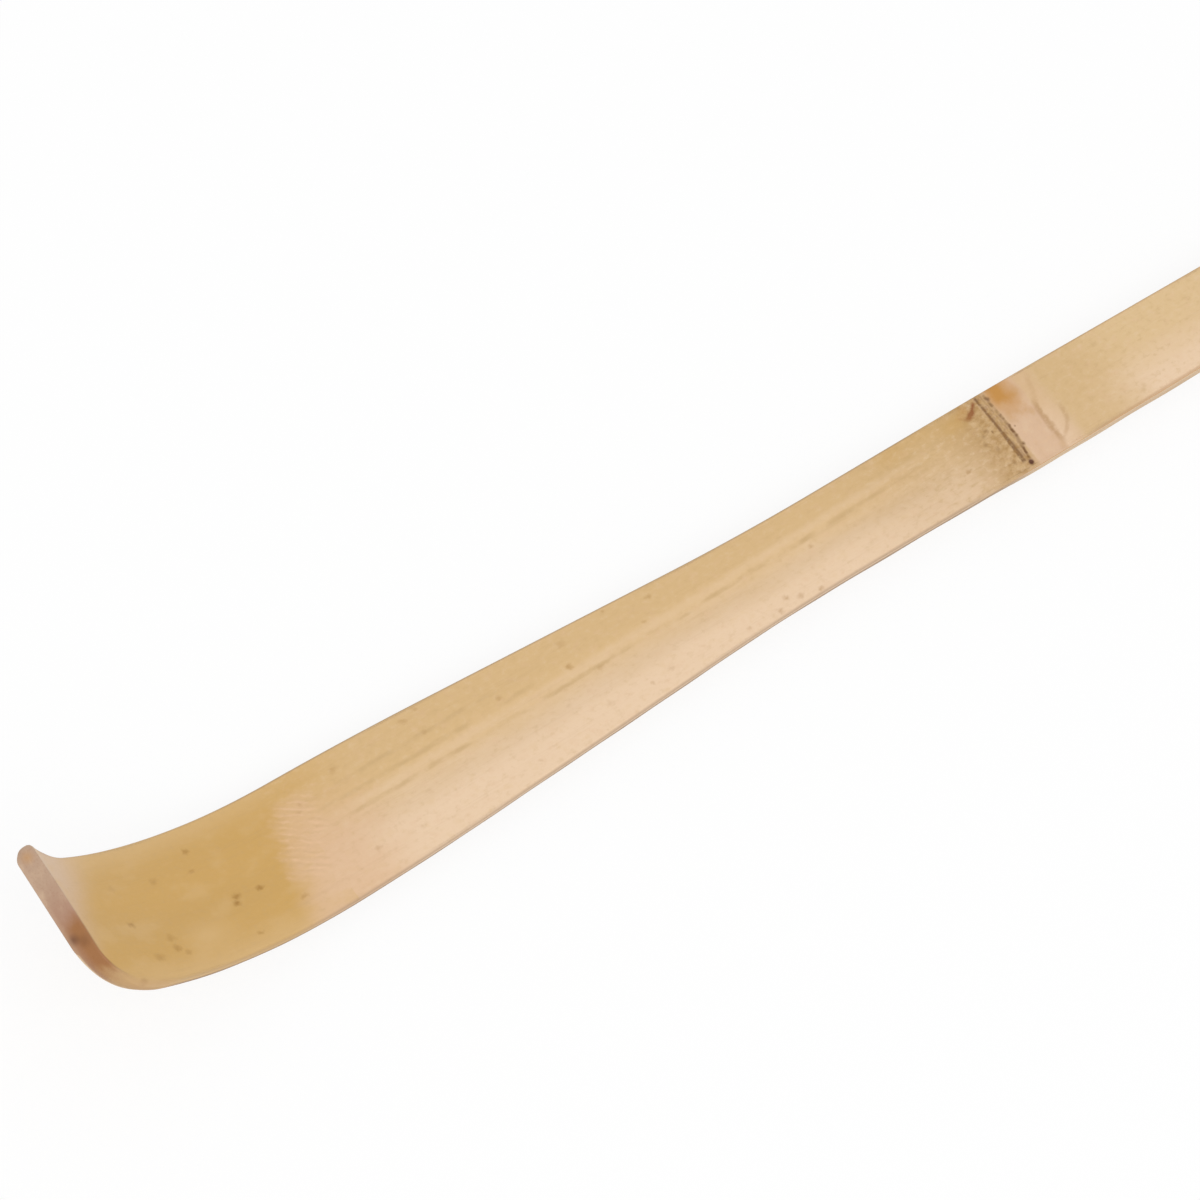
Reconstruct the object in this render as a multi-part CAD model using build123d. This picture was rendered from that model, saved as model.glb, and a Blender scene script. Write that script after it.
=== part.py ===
from build123d import *
import os
from math import degrees, radians, sin, sqrt

# A tea scoop shaved from one strip of bamboo, lying skin side up on a table.
# X runs from the scoop (minus) to the end of the handle (plus), Y across the strip to its
# far side, Z up. The origin is on the table, below the middle of the overall length.
# Sizes are in millimetres. Lengths are measured along the underside.

# Lengths of the strip's zones, from the cut end of the handle to the scoop's tip.
end_cut_length = 1.5
handle_length = 85.0
ridge_length = 2.2
band_length = 2.7
scar_length = 1.6
waist_length = 21.7
flare_length = 35.1
shoulder_length = 6.0
bend_length = 8.4
bowl_length = 14.1
tip_edge_length = 5.4

# Radii of the bends, on the underside.
bend_radius = 25.2
bowl_radius = 34.2
tip_radius = 24.0

# Widths across the strip.
end_width = 5.6
node_width = 7.0
waist_width = 6.8
shoulder_width = 10.4
tip_width = 11.1

# Tip: its broad near corner, its small far corner, which flares out, and its twist in degrees.
near_corner_width = 4.4
far_corner_radius = 0.7
far_flare = 1.0
tip_twist = 4.5

# Thicknesses, skin to underside.
end_thickness = 2.9
bend_thickness = 1.9
tip_thickness = 1.5

# Shape across the strip: upright part of the sides, bevels to the underside, skin.
handle_upright_share = 0.66
stem_upright_share = 0.4
side_fade = 5.0
handle_bevel_run = 1.2
stem_bevel_run = 1.5
tip_bevel_run = 0.8
edge_softening = 0.15
skin_crown = 0.12
bowl_dish = 0.2

# Groove along the stem, relief of the node, arch of the underside below the node.
groove_depth = 0.25
groove_fade = 9.0
scar_depth = 0.12
ridge_rise = 0.18
arch_rise = 0.5
arch_reach = 14.0
end_cut_softening = 0.4

# Spare depth of the blank that is planed off where the strip lies on the table.
planing_allowance = 0.3

# Stations along the strip, from the cut end.
handle_start = end_cut_length
ridge_start = handle_start + handle_length
band_start = ridge_start + ridge_length
scar_start = band_start + band_length
stem_start = scar_start + scar_length
flare_start = stem_start + waist_length
shoulder_start = flare_start + flare_length
bend_start = shoulder_start + shoulder_length
bowl_start = bend_start + bend_length
tip_edge_start = bowl_start + bowl_length
strip_length = tip_edge_start + tip_edge_length

# Rise of the underside after each bend, and the overall reach that the origin halves.
bend_turn = bend_length / bend_radius
bowl_turn = bend_turn + bowl_length / bowl_radius
tip_turn = bowl_turn + tip_edge_length / tip_radius
bend_reach = bend_radius * sin(bend_turn)
bowl_reach = bowl_radius * (sin(bowl_turn) - sin(bend_turn))
tip_reach = tip_radius * (sin(tip_turn) - sin(bowl_turn))
overall_reach = bend_start + bend_reach + bowl_reach + tip_reach
end_x = overall_reach / 2

# Line of the underside, from the cut end along the table and up into the scoop.
with BuildLine(Plane.XZ) as underside_line:
    table_run = Line((end_x, 0), (end_x - bend_start, 0))
    bend_arc = JernArc(table_run @ 1, table_run % 1, bend_radius, -degrees(bend_turn))
    bowl_arc = JernArc(bend_arc @ 1, bend_arc % 1, bowl_radius, degrees(bend_turn - bowl_turn))
    tip_arc = JernArc(bowl_arc @ 1, bowl_arc % 1, tip_radius, degrees(bowl_turn - tip_turn))
underside = underside_line.wire()


def along(distance, *knots):
    """A size that changes evenly between the stations where it is given."""
    for (start, first), (stop, last) in zip(knots, knots[1:]):
        if distance <= stop:
            return first + (last - first) * (distance - start) / (stop - start)
    return knots[-1][1]


def width_at(distance):
    """Width of the strip without the shaping of its tip."""
    return along(
        distance,
        (0, end_width),
        (scar_start, node_width),
        (flare_start, waist_width),
        (shoulder_start, shoulder_width),
        (strip_length, tip_width),
    )


def tip_growth_at(distance):
    """Growth of the tip's twist and flare: none where the bowl ends, 1 at the end."""
    return max(0, (distance - tip_edge_start) / tip_edge_length) ** 2


def corner_cut_at(distance, corner_length, corner_width):
    """What a corner of the tip takes off its side: the corner is a quarter of an ellipse."""
    share = max(0, 1 - (strip_length - distance) / corner_length)
    return corner_width * (1 - sqrt(1 - share**2))


def near_side_at(distance):
    """Distance of the near edge from the centre line."""
    return width_at(distance) / 2 - corner_cut_at(distance, tip_edge_length, near_corner_width)


def far_side_at(distance):
    """Distance of the far edge from the centre line."""
    flared = width_at(distance) / 2 + far_flare * tip_growth_at(distance)
    return flared - corner_cut_at(distance, far_corner_radius, far_corner_radius)


def thickness_at(distance):
    return along(
        distance,
        (0, end_thickness),
        (bend_start, bend_thickness),
        (strip_length, tip_thickness),
    )


def upright_share_at(distance):
    return along(
        distance,
        (0, handle_upright_share),
        (ridge_start, handle_upright_share),
        (stem_start + side_fade, stem_upright_share),
        (strip_length, stem_upright_share),
    )


def bevel_run_at(distance):
    return along(
        distance,
        (0, handle_bevel_run),
        (ridge_start, handle_bevel_run),
        (flare_start, stem_bevel_run),
        (bend_start, stem_bevel_run),
        (tip_edge_start, tip_bevel_run),
        (strip_length, tip_bevel_run),
    )


def groove_at(distance):
    """Depth of the stem's groove, and of the shallow dish in the scoop."""
    return along(
        distance,
        (0, 0),
        (stem_start, 0),
        (stem_start + groove_fade, groove_depth),
        (bend_start - groove_fade, groove_depth),
        (bend_start, 0),
        (bowl_start, bowl_dish),
        (strip_length, bowl_dish),
    )


def underside_height_at(distance):
    """Height of the blank's underside: below the table, but arched clear of it at the node."""
    return along(
        distance,
        (0, -planing_allowance),
        (ridge_start - arch_reach, -planing_allowance),
        (ridge_start, arch_rise),
        (stem_start, arch_rise),
        (stem_start + arch_reach, -planing_allowance),
        (bend_start, -planing_allowance),
    )


def across(distance):
    """The plane across the strip: its X to the near side, its Y to the skin, twisted at the tip."""
    spot = underside.position_at(distance, PositionMode.LENGTH)
    heading = underside.tangent_at(distance, PositionMode.LENGTH)
    square = Plane(spot, x_dir=(0, -1, 0), z_dir=heading)
    return square.rotated((0, 0, -tip_twist * tip_growth_at(distance)))


def section(distance, bottom, rise=0.0, narrowing=0.0):
    """Outline across the strip: softened skin edges, upright sides, bevels, flat underside.

    bottom is the underside's height over its line. rise lifts the skin and narrowing
    takes the same off each side.
    """
    near = near_side_at(distance) - narrowing
    far = narrowing - far_side_at(distance)
    centre = (near + far) / 2
    quarter = (near - far) / 4
    skin = thickness_at(distance) + rise
    bevel_top = thickness_at(distance) * (1 - upright_share_at(distance))
    bevel_slope = bevel_run_at(distance) / bevel_top
    foot = bevel_slope * (bevel_top - bottom)
    shoulder = skin + skin_crown * 3 / 4
    middle = skin + skin_crown - groove_at(distance)
    with BuildSketch(across(distance)) as outline:
        with BuildLine():
            Spline(
                (far + edge_softening, skin),
                (centre - quarter, shoulder),
                (centre, middle),
                (centre + quarter, shoulder),
                (near - edge_softening, skin),
            )
            Polyline(
                (near - edge_softening, skin),
                (near, skin - edge_softening),
                (near, bevel_top),
                (near - foot, bottom),
                (far + foot, bottom),
                (far, bevel_top),
                (far, skin - edge_softening),
                (far + edge_softening, skin),
            )
        make_face()
    return outline.sketch


def evenly(start, stop, count):
    """Stations spread evenly from start to stop."""
    return [start + (stop - start) * step / (count - 1) for step in range(count)]


def table_section(distance, rise=0.0):
    return section(distance, underside_height_at(distance), rise)


def planed(blank):
    """A stretch of the strip with its underside planed flat on the table."""
    return split(blank, Plane.XY, keep=Keep.TOP)


def end_cut():
    """The cut end of the handle, its edges softened all round."""
    cut_face = section(0, end_cut_softening, -end_cut_softening, end_cut_softening)
    return planed(
        loft(
            [cut_face, table_section(end_cut_softening), table_section(end_cut_length)],
            ruled=True,
        )
    )


def handle():
    """The upper half of the strip, from the cut end to the node's ridge."""
    stations = evenly(handle_start, ridge_start, 10)
    return planed(loft([table_section(distance) for distance in stations]))


def node_relief(start, stop, rise):
    """A narrow stretch of the node whose skin rises or sinks midway."""
    middle = (start + stop) / 2
    return loft([table_section(start), table_section(middle, rise), table_section(stop)])


def node_band():
    """The plain band between the ridge and the sheath scar."""
    return loft([table_section(band_start), table_section(scar_start)])


def stem():
    """The grooved stem, parallel below the node and then flaring to the bend."""
    stations = evenly(stem_start, bend_start, 10)
    return planed(loft([table_section(distance) for distance in stations]))


def heat_bend():
    """The tighter bend at the root of the scoop."""
    return loft([section(distance, 0) for distance in evenly(bend_start, bowl_start, 4)])


def scoop_bowl():
    """The long curve of the scoop."""
    return loft([section(distance, 0) for distance in evenly(bowl_start, tip_edge_start, 5)])


def tip_edge():
    """The end of the scoop, with stations that close up towards the round of its corners."""
    turns = evenly(0, 90, 12)
    stations = [tip_edge_start + tip_edge_length * sin(radians(turn)) for turn in turns]
    return loft([section(distance, 0) for distance in stations], ruled=True)


zones = {
    "end_cut": end_cut(),
    "handle": handle(),
    "node_ridge": node_relief(ridge_start, band_start, ridge_rise),
    "node_band": node_band(),
    "sheath_scar": node_relief(scar_start, stem_start, -scar_depth),
    "stem": stem(),
    "heat_bend": heat_bend(),
    "scoop_bowl": scoop_bowl(),
    "tip_edge": tip_edge(),
}

os.makedirs("parts", exist_ok=True)
for name, zone in zones.items():
    zone.label = name
    export_step(zone, f"parts/{name}.step")
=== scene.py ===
from math import cos, pi, radians, sin

import bpy
import numpy as np
from bpy.props import FloatProperty, FloatVectorProperty, PointerProperty
from mathutils import Matrix, Vector


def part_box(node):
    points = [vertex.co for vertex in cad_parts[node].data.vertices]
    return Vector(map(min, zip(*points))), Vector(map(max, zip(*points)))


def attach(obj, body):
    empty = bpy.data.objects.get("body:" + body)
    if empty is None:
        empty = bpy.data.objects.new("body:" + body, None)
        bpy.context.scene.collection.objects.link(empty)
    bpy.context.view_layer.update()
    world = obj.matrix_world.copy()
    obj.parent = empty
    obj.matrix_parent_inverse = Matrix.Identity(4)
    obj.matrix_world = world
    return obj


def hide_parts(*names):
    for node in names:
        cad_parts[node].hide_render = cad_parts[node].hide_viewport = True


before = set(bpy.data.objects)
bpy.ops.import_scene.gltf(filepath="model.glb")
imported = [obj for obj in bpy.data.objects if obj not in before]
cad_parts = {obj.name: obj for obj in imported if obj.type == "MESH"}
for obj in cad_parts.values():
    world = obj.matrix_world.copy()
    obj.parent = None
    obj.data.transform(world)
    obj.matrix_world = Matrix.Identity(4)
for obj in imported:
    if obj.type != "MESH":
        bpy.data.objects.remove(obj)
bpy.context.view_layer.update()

bl_info = {
    "name": "Bamboo tea scoop",
    "version": (1, 0, 0),
    "blender": (4, 5, 0),
    "location": "3D View > Sidebar > Tea Scoop",
    "description": "Carves a bamboo tea scoop, zone by zone, from a straight strip that is then bent",
    "category": "Add Mesh",
}

# The scoop lies skin side up. X runs from the scoop (minus) to the cut end of the handle (plus),
# Y across the strip to its far side, Z up from the table. Blender's lengths are metres.
# Distances along the strip are measured on the underside, from the cut end.
# The skin's own coordinates are millimetres: along the skin from the scar's dark line towards
# the tip (minus on the handle), across to the far side, and down from the skin.
MM = 0.001
BODY = "root"
# Nodes whose starts along the strip are read from the frame.
STRAIGHT_NODES = ("handle", "node_ridge", "node_band", "sheath_scar", "stem", "heat_bend")
# Numbers of the finishes, in the order of the bending tree's materials.
SKIN_FINISH, FLESH_FINISH, END_FINISH = range(3)


def length(name, description, millimetres):
    """A length that is shown in the scene's units."""
    return FloatProperty(
        name=name, description=description, default=millimetres * MM, unit="LENGTH", precision=5
    )


def share(name, description, value):
    """A plain number from 0 to 1."""
    return FloatProperty(name=name, description=description, default=value, min=0, max=1, subtype="FACTOR")


def linear(channel):
    """One channel of a colour picker's 0 to 255 value as the renderer's linear value."""
    level = channel / 255
    return level / 12.92 if level <= 0.04045 else ((level + 0.055) / 1.055) ** 2.4


def colour(name, description, red, green, blue):
    """A colour, given as a colour picker shows it."""
    return FloatVectorProperty(
        name=name,
        description=description,
        default=(linear(red), linear(green), linear(blue)),
        min=0,
        max=1,
        subtype="COLOR",
    )


class ScoopSizes(bpy.types.PropertyGroup):
    """Sizes of the strip, as they are shaved and bent."""

    bend_length: length("Bend length", "Length of the tight heated bend", 8.4)
    bend_radius: length("Bend radius", "Radius of the tight bend's underside", 25.2)
    bowl_length: length("Bowl length", "Length of the scoop's long curve", 14.1)
    bowl_radius: length("Bowl radius", "Radius of the long curve's underside", 34.2)
    tip_edge_length: length("Tip edge length", "Length of the stretch with the tip's corners", 5.4)
    tip_radius: length("Tip radius", "Radius of the tip's underside", 24.0)
    waist_length: length("Waist length", "Parallel stretch of the stem below the node", 21.7)
    shoulder_length: length("Shoulder length", "Full width stretch of the stem before the bend", 6.0)

    end_width: length("End width", "Width at the cut end of the handle", 5.6)
    node_width: length("Node width", "Width at the node", 7.0)
    waist_width: length("Waist width", "Width where the stem starts to flare", 6.8)
    shoulder_width: length("Shoulder width", "Width where the flare ends", 10.4)
    tip_width: length("Tip width", "Width at the tip, without its corners", 11.1)
    near_corner: length("Near corner", "What the tip's long near corner takes off its width", 4.4)
    near_reach: length("Near reach", "Length of the tip's near corner", 7.2)
    far_corner: length("Far corner", "Radius of the tip's small far corner", 0.6)
    far_flare: length("Far flare", "How far the tip's far side flares out", 1.0)
    tip_twist: FloatProperty(
        name="Tip twist",
        description="How the tip's far side is turned up",
        default=radians(4.5),
        subtype="ANGLE",
    )

    end_thickness: length("End thickness", "Thickness at the cut end", 2.9)
    bend_thickness: length("Bend thickness", "Thickness where the bend starts", 1.9)
    tip_thickness: length("Tip thickness", "Thickness at the tip", 1.5)
    handle_upright: share("Handle upright", "Share of the handle's side that stands upright", 0.66)
    stem_upright: share("Stem upright", "Share of the stem's side that stands upright", 0.4)
    tip_upright: share("Tip upright", "Share of the tip's side that stands upright", 0.66)
    side_fade: length("Side fade", "Length below the node over which the sides get lower", 5.0)
    handle_bevel: length("Handle bevel", "How far the bevels run in below the handle", 1.2)
    stem_bevel: length("Stem bevel", "How far the bevels run in below the stem", 1.5)
    tip_bevel: length("Tip bevel", "How far the near bevel runs in below the tip", 0.75)
    far_bevel: length("Far bevel", "How far the far bevel runs in at the tip's end", 0.55)
    skin_crown: length("Skin crown", "Rise of the skin's middle over its edges", 0.12)
    groove_depth: length("Groove depth", "Depth of the stem's groove", 0.25)
    groove_fade: length("Groove fade", "Length over which the groove fades out", 9.0)
    bowl_dish: length("Bowl dish", "Depth of the hollow across the scoop", 0.2)
    arch_rise: length("Arch rise", "Height of the underside's arch at the node", 0.5)
    arch_reach: length("Arch reach", "Length of each flank of the arch", 14.0)
    edge_softening: length("Edge softening", "Rounding of the skin's edges", 0.15)
    tip_softening: length("Tip softening", "Rounding of the skin's far edge at the tip", 0.6)
    corner_softening: length("Corner softening", "Rounding of the skin's edge at the near corner", 0.4)
    facet_softening: length("Facet softening", "Rounding between the shaved facets", 0.25)
    tip_facet: length("Tip facet", "Rounding below the sides at the tip", 0.3)
    end_rim: length("End rim", "Rounding round the cut end of the handle", 0.4)
    tip_rim: length("Tip rim", "Rounding round the tip's cut face", 0.18)


class ScoopColours(bpy.types.PropertyGroup):
    """Colours of the bamboo."""

    # The near half is paler with painted sheen, the far half darker with painted shade.
    near_straw_sheen: colour("Pale straw", "Skin on the near half of the strip", 233, 203, 170)
    deep_straw_and_shade: colour("Deep straw", "Skin on the far half of the strip", 215, 180, 128)
    handle_pale: colour("Handle straw", "Lighter skin of the handle", 226, 196, 150)
    handle_shade: colour("Handle shade", "Duller skin of the handle beside the node", 212, 178, 128)
    handle_line: colour("Handle line", "Orange rind along the handle's near edge", 200, 150, 94)
    node_pink: colour("Node pink", "Bare band of the node", 217, 181, 148)
    node_stain: colour("Node stain", "Orange stain on the node's far side", 196, 140, 66)
    scar_brown: colour("Scar brown", "Lines left by the sheath", 122, 84, 44)
    hook_red: colour("Hook red", "Reddish mark beside the scar", 148, 90, 42)
    olive: colour("Olive", "Mealy skin below the scar", 193, 156, 105)
    # Painted shade in the creases and in the wrinkles' troughs; also the skin's mottling, nicks and dashes.
    crease: colour("Crease", "Soft lines along the groove", 193, 160, 110)
    toasted: colour("Toasted gold", "Skin toasted by the bending", 204, 162, 91)
    toasted_rim: colour("Toasted rim", "Paler toasted skin along the edges", 212, 174, 115)
    flush: colour("Flush", "Pinkish skin before the toasted part", 222, 184, 146)
    # Painted highlight on the wrinkles' strokes.
    wrinkle_highlight: colour("Wrinkle", "Light strokes of the wrinkles", 230, 190, 150)
    # Painted pale sheen where the tip's upturned far corner faces the light; also the pale rim of its cut
    # face.
    tip_sheen_and_rim: colour("Tip bloom", "Pale bloom inside the tip's far corner", 214, 184, 156)
    speck: colour("Speck", "Small brown specks of the skin", 155, 107, 26)
    flesh: colour("Flesh", "Shaved sides and underside", 229, 201, 165)
    # Also painted shade over the rim and side of the tip's near corner.
    fibre: colour("Fibre", "Darker fibre bundles in the flesh", 184, 145, 102)
    # Painted grey-brown shade along the skin's rim and down the sides.
    edge_shade: colour("Edge line", "Rind seen along the side", 158, 130, 104)
    end_grain: colour("End grain", "Cut ends of the fibres", 186, 155, 130)
    end_rose: colour("End rose", "Rosy middle of the tip's cut face", 172, 130, 106)
    end_stain: colour("End stain", "Brown stain of the tip's cut face", 154, 99, 42)
    end_dark: colour("End dark", "Darkest spots", 96, 54, 26)


class StageColours(bpy.types.PropertyGroup):
    """Colours and strengths of the stage."""

    floor: colour("Floor", "Plain pale floor", 250, 250, 250)
    sky_strength: FloatProperty(name="Sky", description="Strength of the even light", default=0.82)
    lamp_power: FloatProperty(
        name="Lamp", description="Power of the soft lamp", default=2.66, unit="POWER"
    )
    camera_distance: length("Camera distance", "From the scar's dark line to the camera", 500.0)


class Wire:
    """An output socket. Sums on it add Math nodes to its tree."""

    def __init__(self, graph, socket):
        self.graph = graph
        self.socket = socket

    def __getitem__(self, name):
        return Wire(self.graph, self.socket.node.outputs[name])

    def __add__(self, other):
        return self.graph.sum("ADD", self, other)

    def __sub__(self, other):
        return self.graph.sum("SUBTRACT", self, other)

    def __rsub__(self, other):
        return self.graph.sum("SUBTRACT", other, self)

    def __mul__(self, other):
        return self.graph.sum("MULTIPLY", self, other)

    def __truediv__(self, other):
        return self.graph.sum("DIVIDE", self, other)

    def __abs__(self):
        return self.graph.sum("ABSOLUTE", self)


class Graph:
    """A node tree under construction."""

    def __init__(self, tree):
        self.tree = tree
        tree.nodes.clear()

    def node(self, kind, settings, sockets, output=0):
        """Adds a node: its settings first, then the values or links of its sockets."""
        made = self.tree.nodes.new(kind)
        for name, value in settings.items():
            setattr(made, name, value)
        for key, value in sockets.items():
            socket = self.find(made.inputs, key)
            if isinstance(value, Wire):
                self.tree.links.new(value.socket, socket)
            elif socket.type == "RGBA":
                socket.default_value = (*value, 1)
            else:
                socket.default_value = value
        if made.outputs:
            return Wire(self, self.find(made.outputs, output))

    def find(self, sockets, key):
        """A socket by its place, or the open socket of that name."""
        if isinstance(key, int):
            return sockets[key]
        return next(socket for socket in sockets if socket.enabled and socket.name == key)

    def sum(self, operation, *values):
        return self.node("ShaderNodeMath", {"operation": operation}, dict(enumerate(values)))

    def fade(self, value, start, stop):
        """Rises smoothly from 0 to 1 between start and stop."""
        return self.node(
            "ShaderNodeMapRange",
            {"interpolation_type": "SMOOTHSTEP"},
            {"Value": value, "From Min": start, "From Max": stop},
        )

    def band(self, value, start, stop, softness):
        """1 between start and stop, with soft ends."""
        rise = self.fade(value, start - softness, start + softness)
        fall = self.fade(value, stop - softness, stop + softness)
        return rise * (1 - fall)

    def line(self, gap, core, edge):
        """A soft line: 1 where the gap is under its core, 0 past its edge."""
        return 1 - self.fade(gap, core, edge)

    def mix(self, factor, first, second):
        """The first colour where the factor is 0, the second where it is 1."""
        return self.node(
            "ShaderNodeMix", {"data_type": "RGBA"}, {"Factor": factor, "A": first, "B": second}, "Result"
        )

    def stretch(self, vector, factors):
        return self.node("ShaderNodeVectorMath", {"operation": "MULTIPLY"}, {0: vector, 1: factors})

    def noise(self, vector, factors, detail=2.0, roughness=0.5):
        """Noise whose grains are one over the factors long in each direction."""
        return self.node(
            "ShaderNodeTexNoise",
            {},
            {
                "Vector": self.stretch(vector, factors),
                "Scale": 1.0,
                "Detail": detail,
                "Roughness": roughness,
            },
            "Fac",
        )

    def shake(self, vector, factors, detail=2.0):
        """Noise about zero, for marks that wander."""
        return self.noise(vector, factors, detail) - 0.5

    def spots(self, vector, places, longer=1.0):
        """Soft spots, drawn out along the strip. Each place is along, across, radius and strength."""
        squeezed = self.stretch(vector, (1 / longer, 1, 0))
        total = 0
        for along, across, radius, strength in places:
            gap = self.node(
                "ShaderNodeVectorMath",
                {"operation": "DISTANCE"},
                {0: squeezed, 1: (along / longer, across, 0)},
                "Value",
            )
            total = self.fade(gap, radius, 0.0) * strength + total
        return self.sum("MINIMUM", total, 1.0)

    def tint(self, base, mask, shade):
        """The base colour, moved towards a shade where the mask is."""
        return self.mix(mask, base, shade)


def new_finish(name):
    material = bpy.data.materials.new(name)
    material.use_nodes = True
    return material, Graph(material.node_tree)


def close_finish(graph, base, roughness, height, bump_depth, coat):
    """Ends a material in its shader. The bump's depth is in millimetres."""
    normal = graph.node(
        "ShaderNodeBump",
        {},
        {"Height": height, "Strength": 1.0, "Distance": bump_depth * MM},
    )
    shader = graph.node(
        "ShaderNodeBsdfPrincipled",
        {},
        {
            "Base Color": base,
            "Roughness": roughness,
            "Normal": normal,
            "Coat Weight": coat,
            "Coat Roughness": 0.35,
            "IOR": 1.45,
        },
    )
    graph.node("ShaderNodeOutputMaterial", {}, {"Surface": shader})


def strip_coordinates(graph):
    """The strip's own coordinates, from the piece's attribute: the vector, along, across, depth."""
    vector = graph.node("ShaderNodeAttribute", {"attribute_name": "strip"}, {}, "Vector")
    parts = graph.node("ShaderNodeSeparateXYZ", {}, {"Vector": vector}, "X")
    return vector, parts, parts["Y"], parts["Z"]


# Where the skin's colour changes along the strip, in its own millimetres. In this and the next
# lists of places, two numbers are from and to, and three are start, stop and softness.
HANDLE_FALL = (-6.0, -4.0)
DULL_RISE = (-14.0, -7.5)
DULL_FALL = (-6.0, -3.4)
SCAR_RISE = (-0.7, -0.3)
OLIVE_FALL = (5.0, 18.0)
MEALY_FALL = (1.4, 5.8)
MOTTLED_HANDLE = (-6.0, -9.0)
MOTTLED_STEM = (0.0, 11.0, 4.0)
FLUSH_RISE = (56.0, 62.5)
SINGED_RISE = (61.8, 65.2)
CALMER_RISE = (62.0, 67.0)
TOAST_RISE = (63.8, 67.0)
FAR_TOAST_RISE = (59.0, 63.5)
SHEEN_RISE = (85.5, 92.0)
# Where it changes across the strip, from painted sheen on the near half to painted shade on the far half,
# and where the toasted skin pales from the middle to its edges.
FAR_SHADE_RISE = (-2.9, 2.3)
FAR_FLUSH_RISE = (-1.0, 4.2)
RAGGED_RISE = (-3.0, 1.0)
FAR_TOAST_EDGE = (3.2, 4.4)
GOLD_PALING = (3.0, 5.5)
# How the borders of the toasted skin and of the tip's painted sheen lean, along for across.
TOAST_SLANT = 0.4
SHEEN_SLANT = 0.9

# Spots of the skin: along, across and radius in millimetres, then strength.
HANDLE_NICKS = (
    (-10.9, 2.3, 0.4, 0.3),
    (-11.7, -2.7, 0.4, 0.4),
    (-11.9, -2.3, 0.35, 0.3),
)
STEM_SPECKS = (
    (4.4, -1.25, 0.3, 0.7),
    (18.4, 0.06, 0.3, 0.5),
    (20.1, -3.1, 0.3, 0.7),
    (21.8, -2.8, 0.35, 0.5),
    (22.8, -2.4, 0.35, 0.6),
    (23.8, -3.0, 0.35, 0.6),
    (26.6, -2.9, 0.3, 0.4),
    (31.5, 2.95, 0.3, 0.5),
    (32.9, 1.46, 0.26, 0.45),
    (33.6, -2.5, 0.3, 0.35),
    (35.0, 3.7, 0.26, 0.5),
    (35.5, -2.8, 0.25, 0.4),
    (37.9, 0.3, 0.4, 0.4),
    (39.1, -2.5, 0.35, 0.25),
    (39.3, 3.15, 0.45, 0.35),
    (39.9, 1.4, 0.35, 0.7),
    (41.8, -1.02, 0.32, 0.25),
    (45.7, 2.0, 0.35, 0.5),
    (46.2, -3.4, 0.25, 0.35),
    (51.5, 4.5, 0.3, 0.4),
    (52.0, 2.65, 0.3, 0.4),
    (52.8, 4.1, 0.35, 0.45),
    (56.5, -3.1, 0.3, 0.3),
    (59.3, 3.7, 0.4, 0.45),
    (60.2, -2.9, 0.35, 0.4),
    (62.9, 2.75, 0.26, 0.7),
    (63.3, 2.2, 0.26, 0.7),
)
BOWL_SPECKS = (
    (66.9, -3.15, 0.26, 0.4),
    (69.4, -1.15, 0.3, 0.75),
    (71.5, -1.0, 0.36, 0.75),
    (71.8, -1.5, 0.34, 0.9),
    (71.8, -4.1, 0.26, 0.5),
    (72.8, 3.4, 0.3, 0.6),
    (73.5, 1.9, 0.24, 0.45),
    (77.4, 2.1, 0.4, 0.35),
    (79.7, -2.3, 0.42, 0.35),
    (79.8, -3.1, 0.4, 0.5),
    (79.0, -3.6, 0.3, 0.35),
    (82.0, 2.4, 0.45, 0.25),
    (82.5, -0.55, 0.36, 0.65),
    (82.3, -3.5, 0.55, 0.4),
    (86.1, -5.1, 0.4, 0.45),
)
NODE_SPECKS = (
    (-0.72, -1.5, 0.24, 0.9),
    (-0.68, -0.75, 0.26, 0.8),
    (-0.74, 0.2, 0.2, 0.7),
    (-0.78, 2.75, 0.26, 0.8),
    (-1.05, -0.05, 0.14, 0.6),
    (0.75, 0.4, 0.24, 0.6),
    (0.95, -0.45, 0.2, 0.5),
)
MEALY_SPECKS = (
    (0.9, -2.4, 0.3, 0.35),
    (1.15, 0.7, 0.3, 0.35),
    (1.3, -0.9, 0.3, 0.3),
    (1.6, 0.4, 0.28, 0.3),
    (1.9, -0.2, 0.3, 0.25),
)
# The node along the strip: its ridge, the scar's dark line, how that leans, and the broken line
# before it. The pit at the scar's near end is two spots, for a dark middle.
RIDGE_PLACE = -4.6
SCAR_LINE = 0.1
SCAR_LEAN = 0.02
BROKEN_LINE = -0.68
PIT_PLACE = (-0.3, -3.0)
SCAR_PIT = ((*PIT_PLACE, 0.36, 1.0), (*PIT_PLACE, 0.26, 1.0))
# The reddish hook beside the scar, as a row of spots.
HOOK_SPECKS = (
    (0.45, 2.98, 0.28, 0.9),
    (0.65, 2.8, 0.31, 0.9),
    (0.88, 2.6, 0.34, 0.9),
    (1.1, 2.45, 0.4, 0.9),
    (1.35, 2.3, 0.42, 0.9),
    (1.58, 2.18, 0.38, 0.8),
    (1.85, 2.3, 0.34, 0.5),
    (2.15, 2.45, 0.32, 0.4),
)
# Golden patches of the stem's far side.
GOLDEN_PATCHES = (
    (3.0, 2.4, 1.5, 0.5),
    (8.5, 3.0, 1.6, 0.4),
    (5.6, 3.2, 1.2, 0.35),
)
# Paler patches of the bowl's near side.
PALE_PATCHES = ((76.0, -2.9, 1.9, 0.7), (83.5, -4.4, 1.3, 0.5))
# Orange skin round the hook.
HOOK_BORDER = ((1.5, 2.9, 0.7, 0.35), (2.2, 2.6, 0.6, 0.3))
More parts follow.
